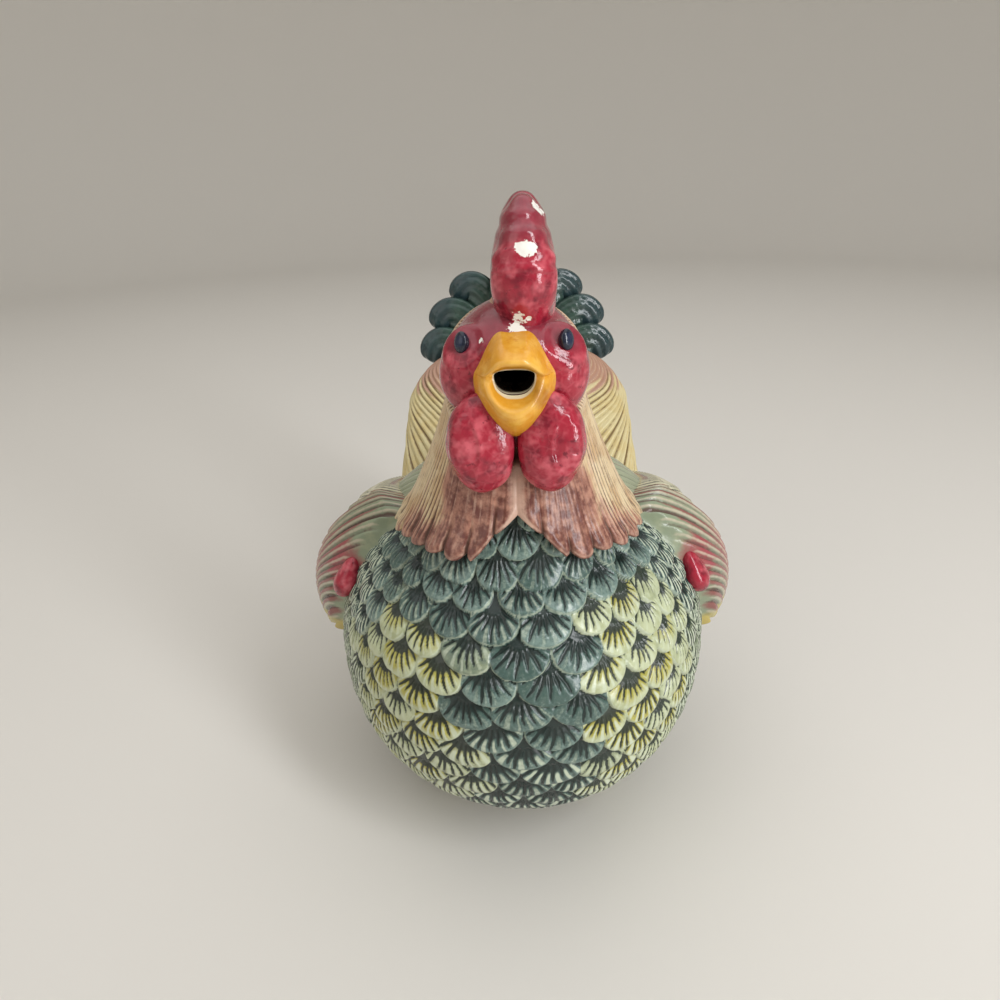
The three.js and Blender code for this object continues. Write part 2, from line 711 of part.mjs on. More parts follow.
function sickle(side, which, grow) {
  const points = SICKLES[which].map(([x, y, z]) => new THREE.Vector3(side * x, y, z));
  const curve = new THREE.CatmullRomCurve3(points);
  const backward = new THREE.Vector3(0, 1, 0);
  const tipRounding = (along) => Math.sqrt(Math.max(0.08, 1 - Math.max(0, along * 4 - 3) ** 2));
  const fullness = (along) => mix(0.75, 1, along) * tipRounding(along);
  return strap(curve, SICKLE_HALF_THICKNESS + grow, SICKLE_HALF_WIDTH + grow, backward, fullness, 12, 12);
}

function handle(grow) {
  const points = HANDLE_LINE.map(([y, z]) => new THREE.Vector3(0, y, z));
  const curve = new THREE.CatmullRomCurve3(points);
  const sideways = new THREE.Vector3(1, 0, 0);
  const fullness = (along) => 1 - 0.18 * Math.sin(Math.PI * along);
  return strap(curve, HANDLE_HALF_WIDTH + grow, HANDLE_HALF_THICKNESS + grow, sideways, fullness, 28, 12);
}

// Assembly

const bird = new THREE.Group();

function place(name, solid, colour, roughness = 0.25) {
  const material = new THREE.MeshStandardMaterial({ color: colour, roughness, metalness: 0 });
  const mesh = new THREE.Mesh(geometryFrom(solid), material);
  mesh.name = name;
  bird.add(mesh);
}

function footRing() {
  const inside = FOOT_RADIUS - FOOT_RING_WIDTH;
  const profile = [
    new THREE.Vector2(inside, 0),
    new THREE.Vector2(FOOT_RADIUS, 0),
    new THREE.Vector2(FOOT_RADIUS, FOOT_HEIGHT),
    new THREE.Vector2(inside, FOOT_HEIGHT),
    new THREE.Vector2(inside, 0),
  ];
  const ring = new THREE.LatheGeometry(profile, 40);
  ring.rotateX(Math.PI / 2);
  return solidFrom(ring);
}

place("body_shell", cut(bodySkin, chamber, passage, fillerBore), GLAZE.breast);
place("foot_ring", footRing(), GLAZE.clay, 0.8);
place("filler_lip", cut(fillerLip(), bodyClear, fillerBore, neckClear), GLAZE.cream);
place("neck_hackle", cut(neckSkin, bodyClear, passage, headCavity, partingWedge()), GLAZE.hackle);
place("head_shell", cut(headSkin, neckClear, headCavity, passage, spout), GLAZE.red);
place("upper_beak", cut(upperBeakSkin, headClear, spout), GLAZE.amber);
place("lower_beak", cut(lowerBeakSkin, headClear, spout), GLAZE.amber);
place("comb", cut(combSolid(), headClear, neckClear), GLAZE.red);
place("tail_saddle", cut(saddleSolid(0), bodyClear, fillerClear), GLAZE.saddle);
place("tail_handle", cut(handle(0), saddleClear, bodyClear), GLAZE.tail);

for (const [name, side] of [["left", 1], ["right", -1]]) {
  const lobe = cut(wattle(side).intersect(ownSide(side)), headClear, neckClear);
  place(`${name}_wattle`, cut(lobe, upperBeakClear, lowerBeakClear, eye(side, SEAM)), GLAZE.red);
  place(`${name}_eye`, cut(eye(side, 0), headClear), GLAZE.eye, 0.15);
  place(`${name}_wing`, cut(wingSolid(side), neckClear, shoulder(side, SEAM), saddleClear), GLAZE.wing);
  place(`${name}_shoulder`, cut(shoulder(side, 0), bodyClear), GLAZE.red);
  const handleClear = handle(SEAM);
  const lowerClear = sickle(side, "lower", SEAM);
  const middleClear = sickle(side, "middle", SEAM);
  place(`${name}_sickle_lower`, cut(sickle(side, "lower", 0), saddleClear), GLAZE.tail);
  place(`${name}_sickle_middle`, cut(sickle(side, "middle", 0), saddleClear, lowerClear), GLAZE.tail);
  const upper = cut(sickle(side, "upper", 0), saddleClear, middleClear, handleClear);
  place(`${name}_sickle_upper`, upper, GLAZE.tail);
}

// The origin is under the middle of the whole jug.
const extent = new THREE.Box3().setFromObject(bird);
bird.position.y = -(extent.min.y + extent.max.y) / 2;
const root = new THREE.Group();
root.add(bird);

export default root;
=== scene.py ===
"""A rooster cream jug in hand-painted glazed earthenware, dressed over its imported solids.

Shapes are worked out in millimetres in the bird's own frame: the foot's upright axis is the origin, the table
is z = 0, the bird faces -Y and its left is +X. make_piece() turns them into metres in the part's frame.
"""
import math
from collections import namedtuple

import bpy
import numpy as np
from mathutils import Matrix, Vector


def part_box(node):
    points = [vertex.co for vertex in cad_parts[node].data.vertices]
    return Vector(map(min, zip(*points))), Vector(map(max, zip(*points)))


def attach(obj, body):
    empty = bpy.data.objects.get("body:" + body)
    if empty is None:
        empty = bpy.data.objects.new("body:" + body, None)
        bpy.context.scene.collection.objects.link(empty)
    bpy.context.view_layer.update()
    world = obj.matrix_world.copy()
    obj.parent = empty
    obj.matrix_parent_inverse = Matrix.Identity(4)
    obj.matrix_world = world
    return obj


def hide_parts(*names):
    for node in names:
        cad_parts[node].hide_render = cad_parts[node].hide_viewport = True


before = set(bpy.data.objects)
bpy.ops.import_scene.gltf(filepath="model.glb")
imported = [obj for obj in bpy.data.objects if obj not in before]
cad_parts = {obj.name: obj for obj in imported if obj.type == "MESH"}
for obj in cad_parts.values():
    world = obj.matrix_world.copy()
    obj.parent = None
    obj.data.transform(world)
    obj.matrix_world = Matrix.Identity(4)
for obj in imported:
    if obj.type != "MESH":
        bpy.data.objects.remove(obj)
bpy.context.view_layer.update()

MM = 0.001
FOOT_LOW, FOOT_HIGH = (np.array(corner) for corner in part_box("foot_ring"))
FOOT_CENTRE = np.array([*(FOOT_LOW + FOOT_HIGH)[:2] / 2, 0.0])

# Body
BODY_HALF_WIDTH, BREAST_REACH, RUMP_REACH, BODY_TOP = 44.5, 54.5, 50.0, 84.0
FLANK_HEIGHT, BREAST_HEIGHT, RUMP_HEIGHT = 40.0, 52.0, 50.0
BELLY_POWER, BELLY_SINK = 2.2, 1.5
BODY_BOTTOM, BODY_WALL, CHAMBER_FLOOR = 3.8, 4.2, 9.0
FOOT_HEIGHT, FOOT_RADIUS, FOOT_RING_WIDTH, FOOT_CORNER, FOOT_OVERLAP = 3.5, 22.0, 4.5, 0.7, 0.4
FILLER_Y, FILLER_HALF_WIDTH, FILLER_HALF_LENGTH = 21.5, 13.5, 9.5
FILLER_CUT, CHAMBER_CUT = 1.35, 1.2
LIP_RADIUS, LIP_RISE, LIP_GAP = 2.4, 1.0, 0.4
LIP_WALL = ((-LIP_RADIUS, -3.0), (-LIP_RADIUS, -6.2), (-LIP_RADIUS + 0.7, -6.6), (0.8, -3.0))
BREAST_SEAM = np.radians(76)
FEATHER_COUNT, FEATHER_CROWDING, FEATHER_GROOVES = 38, 0.12, 7
FEATHER_PITCH, FEATHER_STEP, FEATHER_LIFT = 11.8, 5.6, 1.5
PARTING_SINK = 2.0
SKIN_TOP, SKIN_FRONT_RISE, SKIN_REAR_RISE = 80.0, 8.5, 3.93
MANTLE_ANGLE, MANTLE_HEIGHT, MANTLE_STRAND_DEGREES = 64, 58, 5.2

# Cape
HEM_HEIGHT, HEM_HALF_WIDTH, HEM_HALF_DEPTH, HEM_Y = 70.5, 28.5, 28.7, -14.8
HEM_FRONT_RISE, HEM_SIDE_RISE, HEM_REAR_RISE = 8.4, 5.5, 8.5
THROAT_HEIGHT, THROAT_HALF_WIDTH, THROAT_HALF_DEPTH, THROAT_Y = 110.0, 12.5, 12.6, -22.4
CAPE_FLARE, NAPE_COVER, NECK_WALL, HEAD_WALL = 1.34, 1.2, 4.0, 3.0
CAPE_LOBES, CAPE_STRANDS, CAPE_STANDS = 30, 4.2, 1.7
PARTING_HEIGHT, PARTING_ANGLE = 87.0, np.radians(21)
HEM_ROLL = ((5.0, 2.4), (3.0, 0.5), (1.4, -0.25), (0.45, -0.3))
CROWN_FROM, CROWN_RISE = 104, 15

# Head
HEAD_CENTRE, HEAD_RADII = np.array([0.0, -25.0, 112.0]), np.array([12.0, 14.0, 11.5])
CHIN_CENTRE, CHIN_RADII = np.array([0.0, -31.0, 104.5]), np.array([9.5, 6.5, 7.0])
CHEEK_CENTRE, CHEEK_RADII = np.array([7.6, -30.5, 111.5]), np.array([5.8, 6.5, 8.2])
FACE_POINT, FACE_NORMAL = np.array([0.0, -24.0, 112.0]), np.array([0.0, -0.766, 0.643])
FACE_ORIGIN = np.array([0.0, -27.0, 110.0])
NAPE_TOP = HEAD_CENTRE[2] + HEAD_RADII[2] + NAPE_COVER
COMB_CENTRE, COMB_RADII = np.array([1.9, -21.5, 128.8]), np.array([5.6, 11.5, 8.4])
BULB_CENTRE, BULB_RADII = np.array([1.9, -30.8, 127.6]), np.array([5.9, 5.6, 7.8])
COMB_CORE_CENTRE, COMB_CORE_RADII = np.array([1.9, -26.0, 126.0]), np.array([5.8, 9.0, 14.3])
COMB_LOBE_COUNT, COMB_LOBE_RADIUS, COMB_EDGE_HALF_WIDTH = 5, 5.0, 4.2
COMB_FRONT_ANGLE, COMB_BACK_ANGLE = 150.0, 10.0
COMB_TAPER_WIDTH, COMB_TAPER_FROM, COMB_TAPER_RISE, PLEAT_STEP = 5.9, 126.0, 14.6, 2.6
WATTLE_CENTRE, WATTLE_RADII = np.array([5.9, -38.0, 100.8]), np.array([6.4, 4.6, 9.2])
WATTLE_LOBE, WATTLE_LOBE_RADII = np.array([8.6, -38.2, 101.4]), np.array([3.5, 4.7, 6.6])
EYE_CENTRE, EYE_RADII = np.array([9.0, -34.5, 117.8]), np.array([1.5, 1.6, 1.9])
GAPE_HEIGHT, BEAK_HALF_WIDTH, BEAK_RIDGE_RISE, JAW_DROP = 113.2, 7.5, 6.8, 10.1
BEAK_LIP, BEAK_HOLE_Y, BEAK_CORNER_Y, BEAK_CORNER_LIP_Y = 0.30, -40.2, -35.0, -40.4
BEAK_MIDDLE_Y = {"upper": (-31.5, -43.4), "lower": (-40.6, -44.4)}
MOUTH_HEIGHT, MOUTH_HALF_WIDTH, MOUTH_HALF_HEIGHT = 112.6, 3.4, 2.3
THROAT_FRONT_Y, THROAT_BACK_Y = -40.3, -33.0
# Middle of a brown patch inside the right of the lip, just below the hole's middle
BROWN_PATCH_X, BROWN_PATCH_Z = 4.4, 110.4
CHIPS = [  # bare patches where the glaze has come off: place and size
    ((4.3, -28.0, 138.0), 1.6), ((1.4, -35.0, 133.1), 1.1), ((3.1, -34.8, 132.8), 1.2),
    ((2.2, -35.0, 132.9), 1.4), ((0.6, -35.4, 120.6), 1.6), ((2.0, -35.2, 120.8), 0.8),
    ((-1.0, -35.2, 120.9), 0.8), ((1.0, -34.2, 122.2), 1.1), ((-5.6, -35.6, 118.4), 0.8),
    ((3.4, -36.0, 119.0), 0.6), ((-3.4, -34.6, 121.3), 0.7), ((-5.2, -32.8, 121.9), 0.6),
    ((2.6, -34.6, 121.6), 0.5),
]

# Wings
WING_FRONT_ANGLE, WING_SHOULDER_ANGLE, WING_REAR_ANGLE = 80.0, 60.0, 143.0
WING_TOP, WING_FRONT_BOTTOM, WING_BOTTOM = 76.0, 38.0, 33.0
WING_TIP_TOP, WING_TIP_BOTTOM = 63.0, 50.0
WING_THICKNESS, WING_EDGE, WING_CREST, WING_SINK = 8.0, 1.2, 0.3, 2.2
SHOULDER_ANGLE, SHOULDER_HEIGHT, SHOULDER_STAND, SHOULDER_SINK = 71.0, 58.6, 2.2, 1.5
SHOULDER_RADII = np.array([3.5, 4.5, 5.2])

# Tail
SADDLE_BOTTOM, SADDLE_BOTTOM_Y, SADDLE_TOP, SADDLE_TOP_Y = 52.0, 31.0, 97.0, 57.0
SADDLE_BOTTOM_HALF_WIDTH, SADDLE_BOTTOM_HALF_DEPTH = 35.0, 15.0
SADDLE_TOP_HALF_WIDTH, SADDLE_TOP_HALF_DEPTH = 29.0, 9.5
SADDLE_STRANDS, TAIL_SINK, BEND_SHARE = 52, 2.8, 0.8
SICKLES = {
    "upper": [(4, 59, 92), (8, 62.5, 105), (13, 65.5, 109), (17.5, 67.5, 104.5)],
    "middle": [(8, 58, 88), (14, 61, 100), (19.5, 63, 102), (23, 64, 97)],
    "lower": [(12, 56, 84), (17.5, 58, 93), (22.5, 59.5, 94), (25, 60.5, 88.5)],
}
SICKLE_HALF_WIDTH, SICKLE_HALF_THICKNESS, SICKLE_LENGTH = 6.0, 2.8, 34
HANDLE_LINE = [
    (0, 56, 92), (0, 59, 110), (0, 70, 118), (0, 83, 113), (0, 89, 96), (0, 86, 74), (0, 74, 54), (0, 50, 38),
    (0, 38, 34),
]
HANDLE_HALF_WIDTH, HANDLE_HALF_THICKNESS, HANDLE_LENGTH = 8.0, 4.2, 170

# Camera, from the photograph's perspective
CAMERA_PLACE = np.array([1.1, -157.4, 147.9])
CAMERA_PITCH, CAMERA_ROLL, CAMERA_YAW = 26.0, 2.0, 2.04
CAMERA_LENS, CAMERA_SENSOR = 26.28, 36.0

# Backdrop
FLOOR_SIDES, FLOOR_RADIUS, BEND_RADIUS, WALL_HEIGHT = 96, 900.0, 350.0, 1500.0

# Rows and columns of the grids
BODY_ROWS, BREAST_COLUMNS, RUMP_COLUMNS = 330, 285, 290
CHAMBER_GRID, UNDERSIDE_GRID = (60, 120), (24, 160)
CAPE_GRID, NECK_GRID, THROAT_GRID = (132, 720), (60, 96), (16, 96)
FACE_GRID, COMB_GRID, WATTLE_GRID = (190, 260), (220, 240), (130, 180)
EYE_GRID, BEAK_GRID = (40, 56), (150, 90)
WING_GRID, SHOULDER_GRID = (200, 300), (80, 100)
SADDLE_GRID, SICKLE_GRID, HANDLE_GRID = (170, 600), (120, 72), (360, 110)
LIP_SIDES, FOOT_SIDES = 144, 160


# Arithmetic on whole arrays

def mix(low, high, share):
    """From low at share 0 to high at share 1, along a straight line."""
    return low + (high - low) * share


def ease(low, high, value):
    """0 before low, 1 after high and a smooth rise between; it falls where low is above high."""
    share = np.clip((value - low) / (high - low), 0, 1)
    return share * share * (3 - 2 * share)


def hump(middle, half, value):
    """1 at the middle, fading to nothing a few half-widths away."""
    return np.exp(-((value - middle) / half) ** 2)


def soft_max(first, second, width):
    """The larger of two arrays, with the crease between them rounded over the given width."""
    share = np.clip(0.5 + 0.5 * (first - second) / width, 0, 1)
    return mix(second, first, share) + width * share * (1 - share)


def chance(*keys):
    """A number from 0 to 1 that looks random but depends only on the keys."""
    total = sum(key * factor for key, factor in zip(keys, (127.1, 311.7, 74.7)))
    return np.mod(np.sin(total) * 43758.5453, 1.0)


def wander(first, second, seed):
    """A slow wave from -1 to 1 in two directions, the sum of three sines that don't repeat together."""
    return (np.sin(first * 1.0 + seed) + np.sin(second * 1.3 + 2.1 * seed)
            + np.sin((first + second) * 0.77 + 0.7 * seed)) / 3


def over_strand(line):
    """Where a point lies across its strand, on a line that counts strands: 0 on top, -1 and 1 at the
    edges."""
    return 2 * (np.mod(line, 1) - 0.5)


def off_breast(angle):
    """An angle round the jug as a signed one, 0 at the breast and up to half a turn to each side."""
    return np.mod(angle + np.pi, 2 * np.pi) - np.pi


def grid(row_values, column_values):
    """Row and column parameters spread over a grid."""
    return np.meshgrid(row_values, column_values, indexing="ij")


def turn(count):
    """Angles of a closed ring, anticlockwise seen from above, starting at the breast."""
    return np.arange(count) / count * 2 * np.pi


def ring_grid(first, last, size):
    """Values from first to last up the rows of a ring's grid, and angles round its columns."""
    return grid(np.linspace(first, last, size[0]), turn(size[1]))


def raised(points, height, wrap):
    """The grid moved out by a height at each point, along normals from its differences by column and row."""
    up = np.gradient(points, axis=0)
    if wrap:
        across = np.roll(points, -1, 1) - np.roll(points, 1, 1)
    else:
        across = np.gradient(points, axis=1)
    normal = np.cross(across, up)
    normal = normal / np.maximum(np.linalg.norm(normal, axis=2, keepdims=True), 1e-9)
    return points + normal * height[..., None]


def softened(values, passes):
    """Each value of a ring's grid averaged with its four neighbours, some times over, as glaze rounds
    edges."""
    for _ in range(passes):
        padded = np.pad(values, ((1, 1), (0, 0)), mode="edge")
        padded = np.pad(padded, ((0, 0), (1, 1)), mode="wrap")
        beside = padded[1:-1, :-2] + padded[1:-1, 2:]
        values = (values + padded[:-2, 1:-1] + padded[2:, 1:-1] + beside) / 5
    return values


def face_mean(values):
    """The mean of each face's four corners."""
    return (values[:-1, :-1] + values[1:, :-1] + values[:-1, 1:] + values[1:, 1:]) / 4


def joined(points):
    """A ring's grid with its first column repeated at the end."""
    return np.concatenate([points, points[:, :1]], axis=1)


# Meshes

CLOSED = {"wrap": True, "caps": ("start", "end")}


def make_piece(name, points, slot, node, fields=None, wrap=False, caps=(), keep=None, inward=False):
    """Makes a piece from a grid of points in millimetres whose columns run anticlockwise and whose rows run
    up. wrap joins the last column to the first, caps closes the first or last row with a fan to its middle,
    keep says which faces stay, and fields holds a number for each point that the material reads."""
    rows, columns = points.shape[:2]
    index = np.arange(rows * columns).reshape(rows, columns)
    left = index if wrap else index[:, :-1]
    right = np.roll(index, -1, 1) if wrap else index[:, 1:]
    quads = np.stack([left[:-1], right[:-1], right[1:], left[1:]], axis=2)
    quads = (quads if keep is None else quads[keep]).reshape(-1, 4)
    places = points.reshape(-1, 3)
    values = {key: value.ravel() for key, value in (fields or {}).items()}
    triangles = np.zeros((0, 3), int)
    for cap in caps:
        ring = index[0 if cap == "start" else -1]
        following = np.roll(ring, -1)
        middle = np.full(columns, len(places))
        places = np.vstack([places, places[ring].mean(axis=0)])
        values = {key: np.append(value, value[ring].mean()) for key, value in values.items()}
        fan = [following, ring, middle] if cap == "start" else [ring, following, middle]
        triangles = np.vstack([triangles, np.stack(fan, axis=1)])
    if inward:
        quads, triangles = quads[:, ::-1], triangles[:, ::-1]
    corners = np.concatenate([quads.ravel(), triangles.ravel()])
    used, corners = np.unique(corners, return_inverse=True)
    starts = np.concatenate([np.arange(len(quads)) * 4, len(quads) * 4 + np.arange(len(triangles)) * 3])
    mesh = bpy.data.meshes.new(name)
    mesh.vertices.add(len(used))
    mesh.vertices.foreach_set("co", (places[used] * MM + FOOT_CENTRE).astype(np.float32).ravel())
    mesh.loops.add(len(corners))
    mesh.loops.foreach_set("vertex_index", corners.astype(np.int32).ravel())
    mesh.polygons.add(len(starts))
    mesh.polygons.foreach_set("loop_start", starts.astype(np.int32))
    mesh.polygons.foreach_set("use_smooth", np.ones(len(starts), bool))
    for key, value in values.items():
        attribute = mesh.attributes.new(key, "FLOAT", "POINT")
        attribute.data.foreach_set("value", value[used].astype(np.float32))
    mesh.update(calc_edges=True)
    mesh.validate()
    piece = bpy.data.objects.new(name, mesh)
    bpy.context.scene.collection.objects.link(piece)
    mesh.materials.append(GLAZES[slot])
    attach(piece, "root")
    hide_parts(node)


def make_pair(name, points, slot, fields, **closing):
    """Makes a piece on the bird's left and its mirror image on the right. The mirrored grid has its columns
    reversed, so that its faces still point outwards."""
    make_piece(f"{name}_left", points, slot, f"left_{name}", fields, **closing)
    points = points[:, ::-1] * np.array([-1.0, 1.0, 1.0])
    fields = {key: value[:, ::-1] for key, value in fields.items()}
    make_piece(f"{name}_right", points, slot, f"right_{name}", fields, **closing)


# Forms shared by several pieces

POLE_LATITUDE = 88.0


def body_reach(half, widest, z):
    """How far the body reaches at a height: an ellipse above its widest level, a squarer curve below it."""
    above = np.sqrt(np.clip(1 - ((z - widest) / (BODY_TOP - widest)) ** 2, 1e-6, 1))
    depth = np.clip((widest - z) / (widest + BELLY_SINK), 0, 1)
    below = (1 - depth ** BELLY_POWER) ** (1 / BELLY_POWER)
    return half * np.where(z > widest, above, below)


def body_radius(angle, z):
    """The body's distance from the foot's axis: an ellipse whose breast, flanks and rump reach
    differently."""
    side = body_reach(BODY_HALF_WIDTH, FLANK_HEIGHT, z)
    front = body_reach(BREAST_REACH, BREAST_HEIGHT, z)
    back = body_reach(RUMP_REACH, RUMP_HEIGHT, z)
    along = np.where(np.cos(angle) > 0, front, back)
    return 1 / np.hypot(np.sin(angle) / side, np.cos(angle) / along)


def outside_body(points):
    """The faces of a ring's grid that lie outside the body or less than the tail's sink deep in its wall,
    measured towards the foot's axis, so that no tail piece reaches into the chamber."""
    x, y, z = np.moveaxis(joined(points), -1, 0)
    reach = body_radius(np.arctan2(x, -y), np.minimum(z, BODY_TOP))
    return face_mean(np.where(z < BODY_TOP, reach, 0) - np.hypot(x, y)) < TAIL_SINK


def around(radius, angle, z):
    """Points at a distance from the foot's axis; angle 0 is the breast."""
    return np.stack([radius * np.sin(angle), -radius * np.cos(angle), z + 0 * radius], axis=-1)


def oval_share(across, along, middle, half_width, half_length):
    """0 at the middle of an oval and 1 at its edge; across is measured from 0 and along from the middle."""
    return np.hypot(across / half_width, (along - middle) / half_length)


def cape_ellipse(z):
    """Half width, half depth and middle of the cape, which flares from the throat to the hem by a power."""
    share = np.clip((THROAT_HEIGHT - z) / (THROAT_HEIGHT - HEM_HEIGHT), 0, None) ** CAPE_FLARE
    width = mix(THROAT_HALF_WIDTH, HEM_HALF_WIDTH, share)
    depth = mix(THROAT_HALF_DEPTH, HEM_HALF_DEPTH, share)
    return width, depth, mix(THROAT_Y, HEM_Y, share)


def cape_radius(angle, z, sink):
    """The cape's distance from the foot's axis, where a ray from the axis leaves its ellipse."""
    width, depth, middle = cape_ellipse(z)
    width, depth = width - sink, depth - sink
    square = (np.sin(angle) / width) ** 2 + (np.cos(angle) / depth) ** 2
    half_linear = np.cos(angle) * middle / depth ** 2
    rest = (middle / depth) ** 2 - 1
    return (-half_linear + np.sqrt(np.maximum(half_linear ** 2 - square * rest, 0))) / square


def far_side(direction, origin, centre, radii):
    """Distance from an origin along each direction to the far side of an ellipsoid, 0 where it misses."""
    ray = direction / radii
    start = (origin - centre) / radii
    square, half_linear = (ray * ray).sum(-1), (ray * start).sum(-1)
    under = half_linear ** 2 - square * ((start * start).sum() - 1)
    return np.where(under > 0, (np.sqrt(np.maximum(under, 0)) - half_linear) / square, 0)


def outermost(direction, origin, first, *others):
    """Distance along each direction to the outermost of several ellipsoids, each given by its centre and
    radii. Those after the first also give the width over which the crease beside them is rounded."""
    reach = far_side(direction, origin, *first)
    for centre, radii, crease in others:
        reach = soft_max(reach, far_side(direction, origin, centre, radii), crease)
    return reach


def globe(size):
    """Directions of a globe whose poles lie on Z."""
    latitude, angle = ring_grid(-POLE_LATITUDE, POLE_LATITUDE, size)
    latitude = np.radians(latitude)
    level = np.cos(latitude)
    return np.stack([level * np.sin(angle), -level * np.cos(angle), np.sin(latitude)], -1)


def curve_through(knots, shares):
    """Points of a smooth curve through the knots: cubic pieces whose pace follows the root of each chord."""
    knots = np.array(knots, float)
    knots = np.vstack([2 * knots[0] - knots[1], knots, 2 * knots[-1] - knots[-2]])
    pace = np.sqrt(np.linalg.norm(np.diff(knots, axis=0), axis=1))[:, None]
    place = np.clip(shares, 0, 1) * (len(knots) - 3)
    first = np.minimum(place.astype(int), len(knots) - 4)
    t = (place - first)[:, None]
    a, b, c, d = (knots[first + k] for k in range(4))
    before, here, after = (pace[first + k] for k in range(3))
    leave = here * ((b - a) / before - (c - a) / (before + here) + (c - b) / here)
    arrive = here * ((c - b) / here - (d - b) / (here + after) + (d - c) / after)
    return ((2 * t ** 3 - 3 * t ** 2 + 1) * b + (t ** 3 - 2 * t ** 2 + t) * leave
            + (3 * t ** 2 - 2 * t ** 3) * c + (t ** 3 - t ** 2) * arrive)


def strap(knots, half_width, half_thickness, width_direction, fullness, size):
    """An oval section carried along a curve, held back on the inner side of a tight bend so that it can't
    fold over itself. Rows run along it and columns round it. Returns the points, the share of the way along
    and the angle round the section."""
    along, angle = ring_grid(0, 1, size)
    path = curve_through(knots, along[:, 0])
    tangent = np.gradient(path, axis=0)
    step = np.linalg.norm(tangent, axis=1, keepdims=True)
    tangent = tangent / step
    wide = np.array(width_direction, float)
    wide = wide - tangent * (tangent @ wide)[:, None]
    wide /= np.linalg.norm(wide, axis=1, keepdims=True)
    thick = np.cross(tangent, wide)
    full = fullness(along)
    offset = half_thickness * full * np.sin(angle)
    bend = (np.gradient(tangent, axis=0) / step * thick).sum(-1)[:, None]
    room = BEND_SHARE / np.maximum(np.abs(bend), 1e-6)
    inner = -np.sign(offset) * soft_max(-np.abs(offset), -room + 0 * offset, 0.5)
    offset = np.where(offset * bend > 0, inner, offset)
    sideways = wide[:, None] * (half_width * full * np.cos(angle))[..., None]
    return path[:, None] + sideways + thick[:, None] * offset[..., None], along, angle


# Feather reliefs

MOON_HALF_WIDTH, MOON_REACH, MOON_SQUARENESS, MOON_LAYERS = 0.57, 1.08, 2.2, 3
GROOVE_FAN, GROOVES_BEGIN = np.radians(118), 0.3


def half_moons(across, along, pitch, step, grooves, seed):
    """Overlapping half-moon feathers in staggered rows. across counts feathers and along counts rows upwards
    to the roots. At each point the highest feather that covers it shows. A feather tilts out towards its rim,
    drops there to the next row, and has wedge-shaped grooves that fan out from its root and narrow towards
    the rim. Returns its height, which is about 0 at the rim and -1 at the root, and its fields."""
    shape = across.shape
    found = np.zeros(shape, bool)
    dx, dy, edge, own = (np.zeros(shape) for _ in range(4))
    for layer in range(MOON_LAYERS):
        row = np.floor(along + MOON_REACH) - layer
        shift = 0.5 * np.mod(row, 2)
        column = np.round(across - shift)
        size = 1 + 0.14 * (chance(column, row, seed) - 0.5)
        this_dx = across - shift - column + 0.14 * (chance(column, row, seed + 5) - 0.5)
        this_dy = along - row + 0.20 * (chance(column, row, seed + 9) - 0.5)
        sideways = (np.abs(this_dx) / (MOON_HALF_WIDTH * size)) ** MOON_SQUARENESS
        downwards = (np.maximum(-this_dy, 0) / (MOON_REACH * size)) ** MOON_SQUARENESS
        this_edge = (sideways + downwards) ** (1 / MOON_SQUARENESS)
        fresh = ~found & ((this_edge < 1) | (layer == MOON_LAYERS - 1))
        dx, dy = np.where(fresh, this_dx, dx), np.where(fresh, this_dy, dy)
        edge = np.where(fresh, this_edge, edge)
        own = np.where(fresh, chance(column, row, seed + 3), own)
        found |= fresh
    root = 0.5 * step
    from_root = root - dy * step
    fan = np.arctan2(dx * pitch, from_root) + 0.02 * np.sin(7 * dy + 6 * own)
    out = np.hypot(dx * pitch, from_root) / (MOON_REACH * step + root)
    number = fan * grooves / GROOVE_FAN + own
    stroke = np.round(number)
    wave = 0.5 + 0.5 * np.cos(2 * np.pi * (number - 0.3 * (chance(stroke, own, seed + 2) - 0.5)))
    longest = 1.04 - 0.30 * chance(stroke, own, seed)
    used = np.clip((out - GROOVES_BEGIN) / (longest - GROOVES_BEGIN), 0, 1)
    narrowing = mix(0.22, 1.06, used ** 1.15)
    inside = ease(0.97, 0.88, edge)
    groove = ease(narrowing - 0.10, narrowing + 0.14, wave) * ease(0.26, 0.36, out) * inside
    dome = ease(-0.5, 0.8, np.clip(-dy / MOON_REACH, -1, 1)) + 0.2 * (1 - edge ** 2)
    height = dome - 1.05 - 0.5 * ease(0.91, 1.0, edge) ** 1.5 - 0.26 * groove
    return height, {
        "groove": groove,
        "ridge": ease(0.60, 0.10, wave) * ease(0.42, 0.65, out) * ease(0.96, 0.84, edge),
        "valley": ease(0.40, 0.70, wave) * ease(0.40, 0.60, out) * inside,
        "rim": ease(0.88, 0.96, edge) * ease(1.0, 0.985, edge),
        "out": out, "own": own, "dx": dx, "dy": dy,
    }


def barbed_vane(along, across, length, pitch, slant, seed):
    """A feather's vane: a raised shaft down the middle and fine barbs that run out and forward from it. along
    is 0 to 1 over the length in millimetres, across is -1 to 1. Returns its height from 0 to 1 and its
    grooves."""
    shaft = hump(0, 0.10, across)
    off_shaft = np.abs(across)
    phase = (along * length + off_shaft * slant) / pitch + 0.35 * wander(along * 9, across * 3, seed)
    barb = 0.5 + 0.5 * np.cos(2 * np.pi * phase)
    groove = (1 - barb) ** 1.6 * ease(0.12, 0.3, off_shaft)
    return 0.6 * shaft + 0.4 * barb * ease(0.1, 0.25, off_shaft), groove


# Body

def body_top(angle):
    """Where the body's skin ends: up inside the parted cape in front, under its hem at the sides and
    behind."""
    away = np.abs(off_breast(angle))
    in_front, behind = hump(0, np.radians(17), away), ease(np.radians(66), np.radians(88), away)
    return SKIN_TOP + SKIN_FRONT_RISE * in_front + SKIN_REAR_RISE * behind


